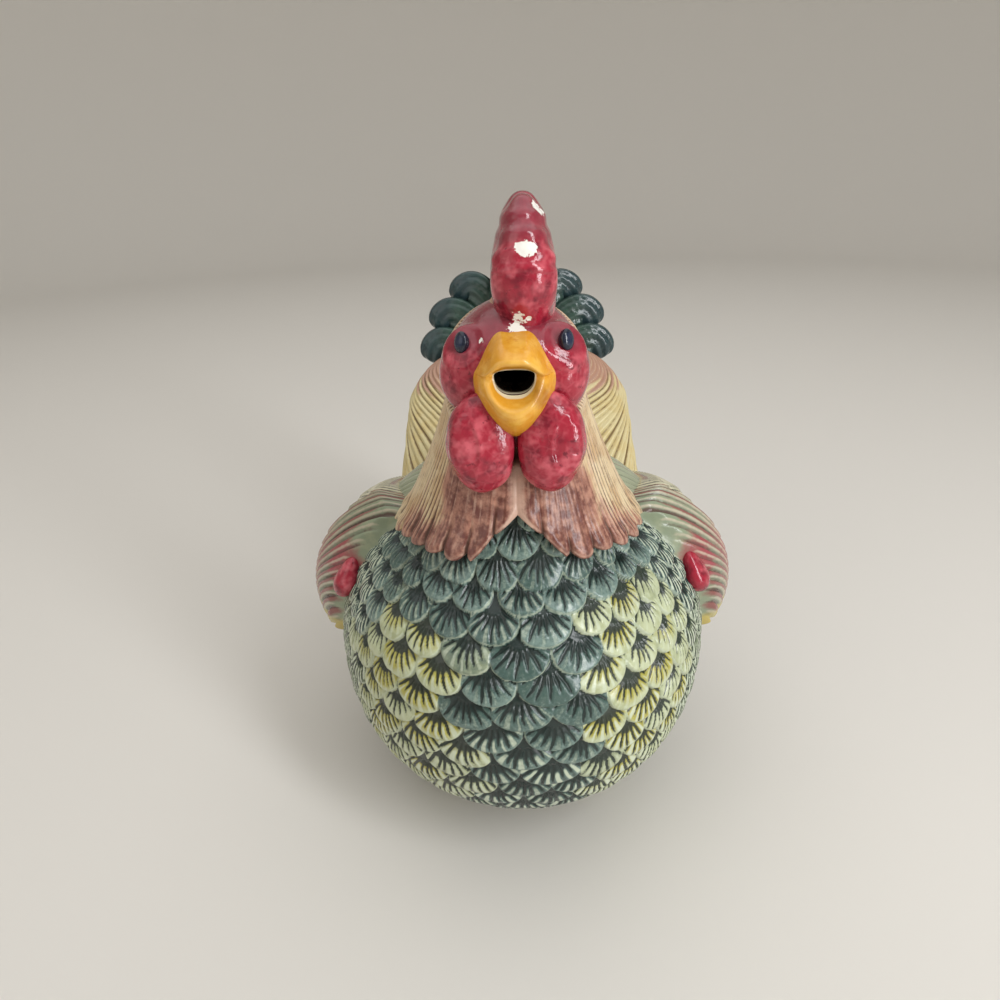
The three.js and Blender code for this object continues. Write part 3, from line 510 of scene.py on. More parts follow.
def body_skin(angle, z):
    """The body's radius, filled out under the parting of the cape so that the breast rises into it."""
    away = np.abs(off_breast(angle))
    fill = ease(np.radians(50), np.radians(30), away) * ease(58, 72, z)
    return soft_max(body_radius(angle, z), cape_radius(angle, z, PARTING_SINK) * fill, 2.5)


def breast_line():
    """Heights up the middle of the breast, and the length of that curve from the bottom to each."""
    z = np.linspace(BODY_BOTTOM, body_top(0.0), 2000)
    radius = body_skin(np.zeros_like(z), z)
    length = np.concatenate([[0], np.cumsum(np.hypot(np.diff(radius), np.diff(z)))])
    return z, length


def body_patch(first, last, columns):
    """Part of the body between two angles, with rows of half-moon feathers that are smaller towards the sides
    and long strands on the mantle behind the cape. Rows are evenly spaced along the middle of the breast. The
    fields say where the green stain was left on, where it was wiped off, where yellow was brushed over and
    where shade is painted at each feather's root."""
    level, length = breast_line()
    row_z = np.interp(np.linspace(0, length[-1], BODY_ROWS), length, level)
    share, angle = grid((row_z - BODY_BOTTOM) / (row_z[-1] - BODY_BOTTOM), np.linspace(first, last, columns))
    z = BODY_BOTTOM + share * (body_top(angle) - BODY_BOTTOM)
    skin = around(body_skin(angle, z), angle, z)
    side = off_breast(angle)

    # Half-moon feathers, each with its own place and chance
    across = (side - FEATHER_CROWDING * np.sin(2 * side)) * FEATHER_COUNT / (2 * np.pi)
    along = np.interp(z, level, length) / FEATHER_STEP + 0.92
    across = across + 0.05 * wander(along * 2, across * 2, 1.0)
    height, relief = half_moons(across, along, FEATHER_PITCH, FEATHER_STEP, FEATHER_GROOVES, 2.0)
    own, out = relief["own"], relief["out"]
    spread = 360 / FEATHER_COUNT / (1 - 2 * FEATHER_CROWDING * np.cos(2 * side))
    degrees = np.abs(np.degrees(side) - relief["dx"] * spread) + 9 * (own - 0.5)
    level_z = z - 0.85 * FEATHER_STEP * relief["dy"] + 5 * (chance(np.round(own * 97), 0, 3.0) - 0.5)

    # Strands on the mantle
    mantle = ease(MANTLE_ANGLE, MANTLE_ANGLE + 10, np.degrees(np.abs(side)))
    mantle = mantle * ease(MANTLE_HEIGHT, MANTLE_HEIGHT + 6, z)
    spoke = np.degrees(np.arctan2(np.abs(skin[..., 0]), -(skin[..., 1] - HEM_Y)))
    strands = mantle * ease(170, 150, spoke)
    line = spoke / MANTLE_STRAND_DEGREES + 0.05 * (SKIN_TOP - z)
    line = line + 0.3 * wander(z * 0.3, spoke * 0.2, 4.0)
    phase = over_strand(line)
    height = FEATHER_LIFT * height * ease(BODY_BOTTOM, BODY_BOTTOM + 3, z) * (1 - 0.6 * mantle)
    height = mix(height, 0.8 * (1 - phase ** 2) - 0.6, strands)

    # Stain: dark teal down the middle and above, olive on the flanks, wiped paler below and to the sides
    dark_from = mix(69.5 + 2.0 * np.sign(side), 57.0, ease(38, 56, degrees))
    upper = ease(dark_from - 3, dark_from + 3, level_z)
    flank = ease(44, 58, degrees)
    belly = ease(27, 13, level_z) * ease(44, 16, degrees)
    teal = np.maximum(np.maximum(ease(20, 9, degrees), upper), 0.9 * belly)
    teal = np.clip(teal + 0.3 * (own - 0.5), 0, 1)
    # Painted shade: each feather's root, where it tucks under the rim of the row above, is darkened
    root = ease(mix(0.58, 0.64, teal), mix(0.38, 0.42, teal), out)
    wiped = np.maximum(0.85 * ease(60, 30, level_z), flank)
    streaks = mix(mix(0.60, 0.46, teal), 0.90, wiped) * (0.6 + 0.6 * own)
    wear_and_highlight = relief["rim"] * mix(0.85, 0.60, teal) + relief["ridge"] * streaks
    yellow = 2.2 * hump(34, 15, degrees) * hump(48, 19, level_z) * ease(0.1, 0.8, own) * hump(0.58, 0.24, out)
    fields = {
        "teal": teal,
        "olive": np.clip(flank + 0.3 * (own - 0.5), 0, 1) * (1 - upper),
        "yellow": np.clip(yellow, 0, 1),
        "pale": np.clip(wear_and_highlight + 0.3 * flank * relief["ridge"], 0, 1),
        "frost": teal * ease(0.35, 0.95, out) * (0.4 + 0.6 * chance(np.round(own * 89), 0, 7.0)),
        "stain_and_root_shade": np.clip(root + relief["groove"] + 0.75 * wiped * relief["valley"], 0, 1),
        "sage": mantle,
        "brush": strands * hump(0.25, 0.45, phase) * ease(0.2, 0.6, chance(np.floor(line), 0, 5.0)),
        "furrow": strands * ease(0.5, 0.95, np.abs(phase)),
    }
    return raised(skin, height, False), fields


def filler_share(points):
    """0 at the middle of the filling hole and 1 at its edge, seen from above."""
    return oval_share(points[..., 0], points[..., 1], FILLER_Y, FILLER_HALF_WIDTH, FILLER_HALF_LENGTH)


def drawn_to_filler(points, size):
    """Points near the edge of the filling hole moved onto it, so that the cut is clean under the rolled
    lip."""
    share = filler_share(points)
    near = (points[..., 2] > FLANK_HEIGHT) & (np.abs(share - size) < 0.06)
    middle = np.array([0.0, FILLER_Y])
    stretch = np.where(near, size / np.maximum(share, 1e-6), 1)[..., None]
    return np.concatenate([middle + (points[..., :2] - middle) * stretch, points[..., 2:]], axis=-1)


def outside_filler(points, size):
    """The faces outside the filling hole."""
    return ~((face_mean(filler_share(points)) < size) & (face_mean(points[..., 2]) > FLANK_HEIGHT))


def outside_neck(points):
    """The faces of the lining outside the neck's passage."""
    width, depth, middle = cape_ellipse(np.float64(BODY_TOP))
    share = oval_share(points[..., 0], points[..., 1], middle, width - NECK_WALL, depth - NECK_WALL)
    return ~((face_mean(share) < 1) & (face_mean(points[..., 2]) > FLANK_HEIGHT))


def make_body():
    """The breast in two halves, the rump with the filling hole, the hollow's lining and the flat
    underside."""
    for name, first, last in (("breast_right", -BREAST_SEAM, 0.0), ("breast_left", 0.0, BREAST_SEAM)):
        points, fields = body_patch(first, last, BREAST_COLUMNS)
        make_piece(name, points, "breast_glaze", "body_shell", fields)
    points, fields = body_patch(BREAST_SEAM, 2 * np.pi - BREAST_SEAM, RUMP_COLUMNS)
    points = drawn_to_filler(points, FILLER_CUT)
    make_piece("rump", points, "breast_glaze", "body_shell", fields, keep=outside_filler(points, FILLER_CUT))
    ceiling = BODY_TOP - BODY_WALL
    z, angle = ring_grid(CHAMBER_FLOOR, ceiling - 0.2, CHAMBER_GRID)
    scale = (ceiling - CHAMBER_FLOOR) / (BODY_TOP - CHAMBER_FLOOR)
    outer_z = CHAMBER_FLOOR + (z - CHAMBER_FLOOR) / scale
    lining = around(np.maximum(body_radius(angle, outer_z) - BODY_WALL, 1.0), angle, z)
    lining = drawn_to_filler(lining, CHAMBER_CUT)
    keep = outside_filler(joined(lining), CHAMBER_CUT) & outside_neck(joined(lining))
    hollow = {"wrap": True, "caps": ("start",), "inward": True}
    make_piece("inside", lining, "cream_glaze", "body_shell", keep=keep, **hollow)
    share, angle = ring_grid(0.02, 1, UNDERSIDE_GRID)
    radius = body_radius(angle, np.full_like(angle, BODY_BOTTOM)) * share
    under = around(radius, angle, BODY_BOTTOM + 0.4 * (1 - share ** 2))
    make_piece("underside", under, "cream_glaze", "body_shell", **hollow)


def back_height(x, y):
    """Height of the back above points of the plan, found by halving."""
    low, high = np.full_like(x, FLANK_HEIGHT), np.full_like(x, BODY_TOP)
    for _ in range(30):
        middle = (low + high) / 2
        inside = body_radius(np.arctan2(x, -y), middle) > np.hypot(x, y)
        low, high = np.where(inside, middle, low), np.where(inside, high, middle)
    return low


def make_filler_lip():
    """A roll that follows the back round the filling hole, with the hole's wall hanging below it: a profile
    of an arc and two short walls carried round an ellipse."""
    arc = np.radians(np.linspace(-30, 200, 30))
    roll = LIP_RADIUS * np.stack([np.cos(arc), np.sin(arc)], axis=1)
    out, rise = np.concatenate([roll, LIP_WALL]).T
    profile, angle = grid(np.arange(len(out)), turn(LIP_SIDES))
    out_x, out_y = np.sin(angle), -np.cos(angle)
    x = (FILLER_HALF_WIDTH + LIP_RADIUS) * out_x
    y = FILLER_Y + (FILLER_HALF_LENGTH + LIP_RADIUS) * out_y
    z = back_height(x, y) + LIP_RISE + rise[profile]
    points = np.stack([x + out[profile] * out_x, y + out[profile] * out_y, z], axis=-1)
    points = np.concatenate([points, points[:1]], axis=0)
    make_piece("filler_rim", points, "cream_glaze", "filler_lip", wrap=True)


def make_foot():
    """A turned ring of bare clay: a rounded square profile spun round the foot's axis."""
    inner, outer = FOOT_RADIUS - FOOT_RING_WIDTH + FOOT_CORNER, FOOT_RADIUS - FOOT_CORNER
    low, high = FOOT_CORNER, FOOT_HEIGHT + FOOT_OVERLAP - FOOT_CORNER
    radius, rise = [], []
    for start, out, up in ((-90, outer, low), (0, outer, high), (90, inner, high), (180, inner, low)):
        bend = np.radians(np.linspace(start, start + 90, 7))
        radius.extend(out + FOOT_CORNER * np.cos(bend))
        rise.extend(up + FOOT_CORNER * np.sin(bend))
    level, angle = grid(np.append(np.arange(len(radius)), 0), turn(FOOT_SIDES))
    unevenness = 0.08 * wander(angle * 9, level * 0.4, 3.0)
    points = around(np.array(radius)[level] + unevenness, angle, np.array(rise)[level])
    make_piece("foot", points, "bare_clay", "foot_ring", wrap=True)


# Cape of hackle feathers

def cape_form(angle, z):
    """The neck's level ellipses: the larger of the cape and the hackle over the skull, closed over the
    crown."""
    width, depth, middle = cape_ellipse(z)
    closing = np.sqrt(np.clip(1 - (np.maximum(z - CROWN_FROM, 0) / CROWN_RISE) ** 2, 0, 1))
    crown_wide, crown_deep, crown_tall = HEAD_RADII + NAPE_COVER
    skull = np.sqrt(np.clip(1 - ((z - HEAD_CENTRE[2]) / crown_tall) ** 2, 0, 1))
    wide = soft_max(width * closing, crown_wide * skull, 2.0)
    rear = soft_max(middle + depth * closing, HEAD_CENTRE[1] + crown_deep * skull, 2.0)
    front = -soft_max(depth * closing - middle, crown_deep * skull - HEAD_CENTRE[1], 2.0)
    centre, half = (rear + front) / 2, (rear - front) / 2
    return np.stack([wide * np.sin(angle), centre - half * np.cos(angle), z + 0 * wide], axis=-1)


def cape_lobe(angle):
    """Counts the hackle lobes round the hem, with one boundary at the parting."""
    return angle * CAPE_LOBES / (2 * np.pi)


def cape_hem(angle):
    """Height of the hem: rounded lobe tips, higher over the breast, and the parting that rises to a point."""
    lobe = cape_lobe(angle)
    own = chance(np.floor(lobe), 0, 3.0)
    ahead = np.cos(angle)
    base = (HEM_HEIGHT + 1 + HEM_FRONT_RISE * np.maximum(ahead, 0) ** 2
            + HEM_SIDE_RISE * np.sin(angle) ** 2 + HEM_REAR_RISE * np.minimum(ahead, 0) ** 2)
    tips = (1.0 + 1.3 * own) * (1 - np.abs(over_strand(lobe)) ** 2.2) * ease(-0.3, 0.2, ahead + 0.4)
    parting = np.clip(1 - np.abs(off_breast(angle)) / PARTING_ANGLE, 0, 1) ** 0.85
    return base - tips * (1 - parting) + (PARTING_HEIGHT - base) * parting


def make_cape():
    """Long hackle feathers from the head down to the parted hem. The front is two smooth aprons with short
    lobes at the hem, the sides are long strands, and the lower edge is rolled under and stands on the
    breast."""
    share, angle = ring_grid(0, 1, CAPE_GRID)
    hem = cape_hem(angle)
    z = mix(hem, NAPE_TOP - 0.15, share ** 1.12)
    skin = cape_form(angle, z)

    # Lower part lifted to stand off the breast
    radius = np.hypot(skin[..., 0], skin[..., 1])
    plan = np.abs(np.arctan2(skin[..., 0], -skin[..., 1]))
    stand = body_skin(plan, np.minimum(z, 83.5)) + CAPE_STANDS
    lifted = np.where(z < 83, soft_max(radius, stand, 1.5), radius) / np.maximum(radius, 1e-6)
    lifted = mix(1, lifted, ease(86, 80, z) * ease(np.radians(76), np.radians(50), plan))
    skin[..., :2] *= lifted[..., None]

    # Relief of lobes, strands, slits between lobes and the edge round the face
    lobe = cape_lobe(angle)
    middle = over_strand(lobe)
    above = z - hem
    side = off_breast(angle)
    turned = np.abs(side) + 0.10 * wander(z * 0.4, lobe * 2, 6.0)
    front = ease(np.radians(56), np.radians(36), turned)
    sway = 0.5 * wander(above * 0.12, lobe * 1.7, 2.0) + 0.25 * np.sin(above * 0.22 + lobe)
    fine = lobe * CAPE_STRANDS + sway
    strand = over_strand(fine)
    strength = 0.35 + 0.65 * chance(np.floor(fine), 0, 8.0)
    groove = ease(0.35, 0.95, np.abs(strand)) * strength * ease(0.3, 2.0, above) * mix(1, 0.14, front)
    slit_top = mix(4, 11, chance(np.round(lobe), 0, 5.0))
    slit = ease(0.74, 0.98, np.abs(middle)) * ease(slit_top, 1, above) * ease(0.02, 0.10, np.abs(side))
    face = ((skin - FACE_POINT) * FACE_NORMAL).sum(-1)
    hidden = ease(-0.5, 0.9, face) * ease(93, 99, z)
    edge = hump(-1.2, 0.8, face) * ease(97, 103, z)
    seam = hump(0, np.radians(6), side) * ease(102, 94, z)
    height = (0.5 * (1 - middle ** 2) * ease(10, 1, above) - 0.36 * groove - 0.5 * slit
              - 3.0 * hidden + 0.35 * edge - 0.5 * seam + 0.4 * hump(1.4, 1.6, above))
    points = raised(skin, height * ease(NAPE_TOP, NAPE_TOP - 2, z), True)

    # Hem rolled under
    out = points[0] - np.array([0.0, HEM_Y, 0.0])
    out[:, 2] = 0
    out /= np.linalg.norm(out, axis=1, keepdims=True)
    roll = [points[0] - out * inset + np.array([0, 0, rise]) for inset, rise in HEM_ROLL]

    band = ease(12, 3, above + 2.5 * wander(lobe * 3, above * 0.5, 5.0)) * ease(1.7, 1.0, turned)
    wash = np.maximum(band, front * ease(103, 95, z)) - 0.3 * (1 - front) * ease(0.5, 0.2, np.abs(strand))
    stroke = np.floor(fine * 2.3 + 0.4 * wander(above * 0.3, lobe * 5, 3.0))
    fields = {
        "groove": np.clip(1.15 * groove + 0.8 * slit, 0, 1),
        "wash": np.clip(wash, 0, 1),
        # Painted highlight along each strand's top, and the pale edge round the face
        "ridge": np.clip((1 - np.abs(strand)) * (1 - 0.5 * front) + edge, 0, 1),
        "bare": np.clip(seam + 0.6 * hump(0.4, 0.6, above) * front, 0, 1),
        "crown": ease(100, 112, z),
        "streak": chance(stroke, 0, 9.0),
    }
    points = np.concatenate([np.array(roll), points], axis=0)
    for key, value in fields.items():
        fields[key] = np.concatenate([np.repeat(value[:1], len(HEM_ROLL), axis=0), value], axis=0)
    make_piece("hackle_cape", points, "hackle_glaze", "neck_hackle", fields, wrap=True, caps=("end",),
               keep=outside_mouth(joined(points), 1.5))


def make_neck_lining():
    """The way for the cream: the cape's own taper less its wall, which opens into the hollow of the head."""
    share, angle = ring_grid(0, 1, NECK_GRID)
    hollow_wide, hollow_deep, hollow_tall = HEAD_RADII - HEAD_WALL
    z = mix(74.5 - 4.5 * np.cos(angle), HEAD_CENTRE[2] + hollow_tall - 0.1, share)
    width, depth, middle = cape_ellipse(np.maximum(z, BODY_TOP))
    hollow = np.sqrt(np.clip(1 - ((z - HEAD_CENTRE[2]) / hollow_tall) ** 2, 0, 1))
    in_head = ease(101, 106, z)
    wide = mix(width - NECK_WALL, hollow_wide * hollow, in_head)
    deep = mix(depth - NECK_WALL, hollow_deep * hollow, in_head)
    y = mix(middle, HEAD_CENTRE[1], in_head) - deep * np.cos(angle)
    points = np.stack([wide * np.sin(angle), y, z], axis=-1)
    # Painted shade: the lining darkens to near black deeper in the neck
    make_piece("neck_lining", points, "cream_glaze", "neck_hackle", {"inside": ease(86, 100, z)}, wrap=True,
               caps=("end",), inward=True, keep=outside_mouth(joined(points), 0.9))


# Head

def chip_field(points):
    """How deep a point lies inside the nearest chip: positive inside, fading to -1 well outside."""
    depth = np.full(points.shape[:-1], -1.0)
    for place, size in CHIPS:
        depth = np.maximum(depth, 1 - np.linalg.norm(points - np.array(place), axis=-1) / size)
    return depth


def outside_mouth(points, size):
    """The faces outside the pouring hole, on the front of the head."""
    share = oval_share(points[..., 0], points[..., 2], MOUTH_HEIGHT, MOUTH_HALF_WIDTH, MOUTH_HALF_HEIGHT)
    return ~((face_mean(share) < size) & (face_mean(points[..., 1]) < HEAD_CENTRE[1]))


def make_head():
    """The red face: the outermost of skull, chin and cheeks along each ray from the middle of the head, with
    the creases between them rounded and a shallow dish round each eye."""
    direction = globe(FACE_GRID)
    reach = outermost(direction, FACE_ORIGIN, (HEAD_CENTRE, HEAD_RADII), (CHIN_CENTRE, CHIN_RADII, 2.0),
                      (CHEEK_CENTRE, CHEEK_RADII, 1.6), (CHEEK_CENTRE * (-1, 1, 1), CHEEK_RADII, 1.6))
    skin = FACE_ORIGIN + direction * softened(reach, 6)[..., None]
    x, y, z = np.moveaxis(skin, -1, 0)
    to_eye = np.stack([np.abs(x), y, z], axis=-1) - EYE_CENTRE
    from_eye = np.linalg.norm(to_eye / np.array([1.0, 1.0, 1.15]), axis=-1)
    chip = chip_field(skin)
    height = (0.16 * wander(x * 0.8, z * 0.7, 1.0) - 0.45 * hump(0, 2.6, from_eye)
              + 0.30 * hump(3.9, 0.9, from_eye) - 0.12 * ease(-0.1, 0.3, chip))
    brow = ease(114, 119, z + 1.5 * wander(x * 0.9, y, 4.0))
    fields = {"chip": chip, "dust": brow, "vein": 1 - 0.6 * brow}
    make_piece("face", raised(skin, height, True), "red_glaze", "head_shell", fields,
               keep=outside_mouth(joined(skin), 1.1), **CLOSED)


def make_comb():
    """A thick blade with a bulb on the forehead and soft lobes along its edge: the outermost of these
    ellipsoids along each ray from the blade's middle, smoothed as thick glaze smooths them."""
    origin = COMB_CENTRE + np.array([0.0, -3.0, -1.0])
    direction = globe(COMB_GRID)
    ring = np.radians(np.linspace(COMB_FRONT_ANGLE, COMB_BACK_ANGLE, COMB_LOBE_COUNT))
    lobe_radii = np.array([COMB_EDGE_HALF_WIDTH, COMB_LOBE_RADIUS, COMB_LOBE_RADIUS])
    lobe_inset = np.array([0, 1, 1]) * COMB_LOBE_RADIUS / 3
    lobes = [(COMB_CENTRE + (COMB_RADII - lobe_inset) * (0, np.cos(turned), np.sin(turned)), lobe_radii, 0.5)
             for turned in ring]
    reach = outermost(direction, origin, (COMB_CENTRE, COMB_RADII), (BULB_CENTRE, BULB_RADII, 1.0),
                      (COMB_CORE_CENTRE, COMB_CORE_RADII, 1.0), *lobes)
    skin = origin + direction * softened(reach, 14)[..., None]
    climb = np.maximum(skin[..., 2] - COMB_TAPER_FROM, 0) / COMB_TAPER_RISE
    taper = COMB_TAPER_WIDTH * np.sqrt(np.clip(1 - climb ** 2, 0.01, 1))
    aside = skin[..., 0] - COMB_CENTRE[0]
    skin[..., 0] = COMB_CENTRE[0] - np.sign(aside) * soft_max(-np.abs(aside), -taper, 0.8)
    x, y, z = np.moveaxis(skin, -1, 0)
    turned = np.degrees(np.arctan2(z - COMB_CENTRE[2], y - COMB_CENTRE[1]))
    edge = np.hypot((y - COMB_CENTRE[1]) / COMB_RADII[1], (z - COMB_CENTRE[2]) / COMB_RADII[2])
    bow = z + 0.06 * (x - COMB_CENTRE[0]) ** 2
    pleated = ease(0.55, 0.95, edge) * ease(127, 131, bow) * ease(60, 100, turned)
    pleat = np.cos(2 * np.pi * bow / PLEAT_STEP) * pleated
    chip = chip_field(skin)
    height = 0.15 * pleat + 0.08 * wander(y * 0.6, z * 0.6, 3.0) - 0.14 * ease(-0.1, 0.3, chip)
    upper = ease(130, 135, z + 0.25 * (y + 30) + 0.8 * wander(x, y, 2.0))
    fields = {"chip": chip, "dust": upper, "vein": 0.55 - 0.2 * pleat}
    make_piece("comb_blade", raised(skin, height, True), "red_glaze", "comb", fields, **CLOSED)


def make_wattles():
    """Two hanging drops, a little fuller below and pressed flat against each other, each with an oval lobe on
    its outer side: the outermost of two ellipsoids along each ray from the drop's middle."""
    direction = globe(WATTLE_GRID)
    reach = outermost(direction, WATTLE_CENTRE, (WATTLE_CENTRE, WATTLE_RADII),
                      (WATTLE_LOBE, WATTLE_LOBE_RADII, 0.5))
    skin = WATTLE_CENTRE + direction * softened(reach, 3)[..., None]
    low = ease(0.2, -0.8, direction[..., 2])
    skin[..., 1] -= 0.6 * low * np.cos(turn(WATTLE_GRID[1]))
    skin[..., 0] = soft_max(skin[..., 0], np.full_like(low, 0.2), 1.2)
    x, z = skin[..., 0], skin[..., 2]
    dents = np.clip(wander(x * 2.1, z * 1.7, 6.0) - 0.50, 0, 1)
    from_lobe = np.hypot((x - WATTLE_LOBE[0]) / 2.6, (z - WATTLE_LOBE[2]) / 5.2)
    hollow = ease(1.0, 0.3, from_lobe)
    rim = hump(1.0, 0.16, from_lobe)
    height = 0.12 * wander(x * 0.9, z * 0.8, 2.0) - 0.25 * dents - 0.35 * hollow + 0.18 * rim
    vein = np.clip(0.9 - hollow + 0.6 * rim, 0, 1)
    fields = {"chip": np.full_like(low, -1.0), "dust": 0.30 * hollow, "vein": vein}
    make_pair("wattle", raised(skin, height, True), "red_glaze", fields, **CLOSED)


def make_eyes():
    """Small raised ovals of thick dark glaze: globes pressed flat against the cheek."""
    outward = np.array([0.72, -0.64, 0.26])
    skin = globe(EYE_GRID) * EYE_RADII
    skin = EYE_CENTRE + skin - 0.4 * np.maximum(skin @ outward, 0)[..., None] * outward
    towards = skin - (EYE_CENTRE + np.array([1.0, -1.2, 0.5]))
    fields = {"pupil": ease(2.0, 0.9, np.linalg.norm(towards, axis=-1))}
    make_pair("eye", skin, "eye_glaze", fields, **CLOSED)


def mouth_edge(angle):
    """The pouring hole seen from the front: flat on top, with its corners high, and deep and round below."""
    across, up = np.cos(angle), np.sin(angle)
    corner = MOUTH_HEIGHT + 0.3 * MOUTH_HALF_HEIGHT
    rise = np.where(up > 0, 0.55 * np.abs(up) ** 0.6, -1.3 * np.abs(up) ** 0.9)
    return MOUTH_HALF_WIDTH * np.sign(across) * np.abs(across) ** 0.85, corner + MOUTH_HALF_HEIGHT * rise


def make_beak():
    """Each half runs from the pouring hole out over a thick rounded lip and back to the face, between the
    hole's outline and the half's own outline: a flat-topped shield above, a rounded keel below. The throat
    behind the hole follows its outline back into the head."""
    for half, start in (("upper", 0.0), ("lower", np.pi)):
        angles = np.linspace(start, start + np.pi, BEAK_GRID[0])
        angle, share = grid(angles, np.linspace(0, 1.06, BEAK_GRID[1]))
        hole_x, hole_z = mouth_edge(angle)
        across, upward = np.cos(angle), np.abs(np.sin(angle))
        if half == "upper":
            rim_x = BEAK_HALF_WIDTH * np.sign(across) * np.abs(across) ** 0.9
            slope = 2.1 * (1 - np.abs(rim_x / BEAK_HALF_WIDTH))
            rim_z = GAPE_HEIGHT - BEAK_RIDGE_RISE * soft_max(-slope, np.full_like(slope, -1.05), 0.5)
        else:
            rim_x = BEAK_HALF_WIDTH * across
            rim_z = GAPE_HEIGHT - JAW_DROP * (1 - np.abs(rim_x / BEAK_HALF_WIDTH) ** 1.6) ** 0.6
        middle_back_y, middle_lip_y = BEAK_MIDDLE_Y[half]
        back_y = mix(BEAK_CORNER_Y, middle_back_y, upward)
        lip_y = mix(BEAK_CORNER_LIP_Y, middle_lip_y, upward)
        inside = mix(BEAK_HOLE_Y, lip_y, ease(-0.1, BEAK_LIP, share))
        outside = mix(lip_y, back_y, (np.maximum(share - BEAK_LIP, 0) / (1 - BEAK_LIP)) ** 1.9)
        y = np.where(share < BEAK_LIP, inside, outside)
        from_corner = np.minimum(angle - start, start + np.pi - angle)
        gape = hump(0, np.radians(5), from_corner) * ease(0.05, 0.25, share)
        x, z = mix(hole_x, rim_x, share), mix(hole_z, rim_z, share)
        points = np.stack([x, y + 0.12 * gape - 0.10 * wander(x * 1.3, z * 1.6, 2.0), z], axis=-1)
        fields = {
            "mouth": ease(0.10, 0.02, share),
            "crease": np.clip(0.35 * gape + ease(0.9, 1.0, share), 0, 1),
            # Painted highlight: lighter amber along the rounded lip
            "wear_and_highlight": ease(0.5, 0.2, np.abs(share - BEAK_LIP) * 3),
            # Browner inside the right of the lip, just below the hole's middle
            "brown_patch": hump(0, 1, np.hypot((x - BROWN_PATCH_X) / 1.6, (z - BROWN_PATCH_Z) / 2.4)),
        }
        make_piece(f"beak_{half}", points, "amber_glaze", f"{half}_beak", fields)
    depth, angle = ring_grid(THROAT_FRONT_Y, THROAT_BACK_Y, THROAT_GRID)
    hole_x, hole_z = mouth_edge(angle)
    wider = 1 + 0.12 * ease(-39, -34, depth)
    throat = np.stack([hole_x * wider, depth, MOUTH_HEIGHT + (hole_z - MOUTH_HEIGHT) * wider], axis=-1)
    # Painted shade: the throat darkens to near black as it goes back from the hole
    fields = {"inside": ease(THROAT_FRONT_Y, THROAT_FRONT_Y + 1.8, depth)}
    make_piece("throat", throat, "cream_glaze", "head_shell", fields, wrap=True, inward=True)


# Wings

def wing_place(along, up):
    """The wing's patch on the body: its leading edge slants forward as it rises and its ends draw
    together."""
    front = mix(WING_FRONT_ANGLE, WING_SHOULDER_ANGLE, up)
    angle = np.radians(mix(front, WING_REAR_ANGLE, along))
    keel = mix(WING_FRONT_BOTTOM, WING_BOTTOM, np.sin(np.clip(along, 0, 1) * np.pi))
    low = mix(keel, WING_TIP_BOTTOM, along ** 3)
    high = mix(WING_TOP, WING_TIP_TOP, along ** 2)
    return angle, mix(low, high, up)


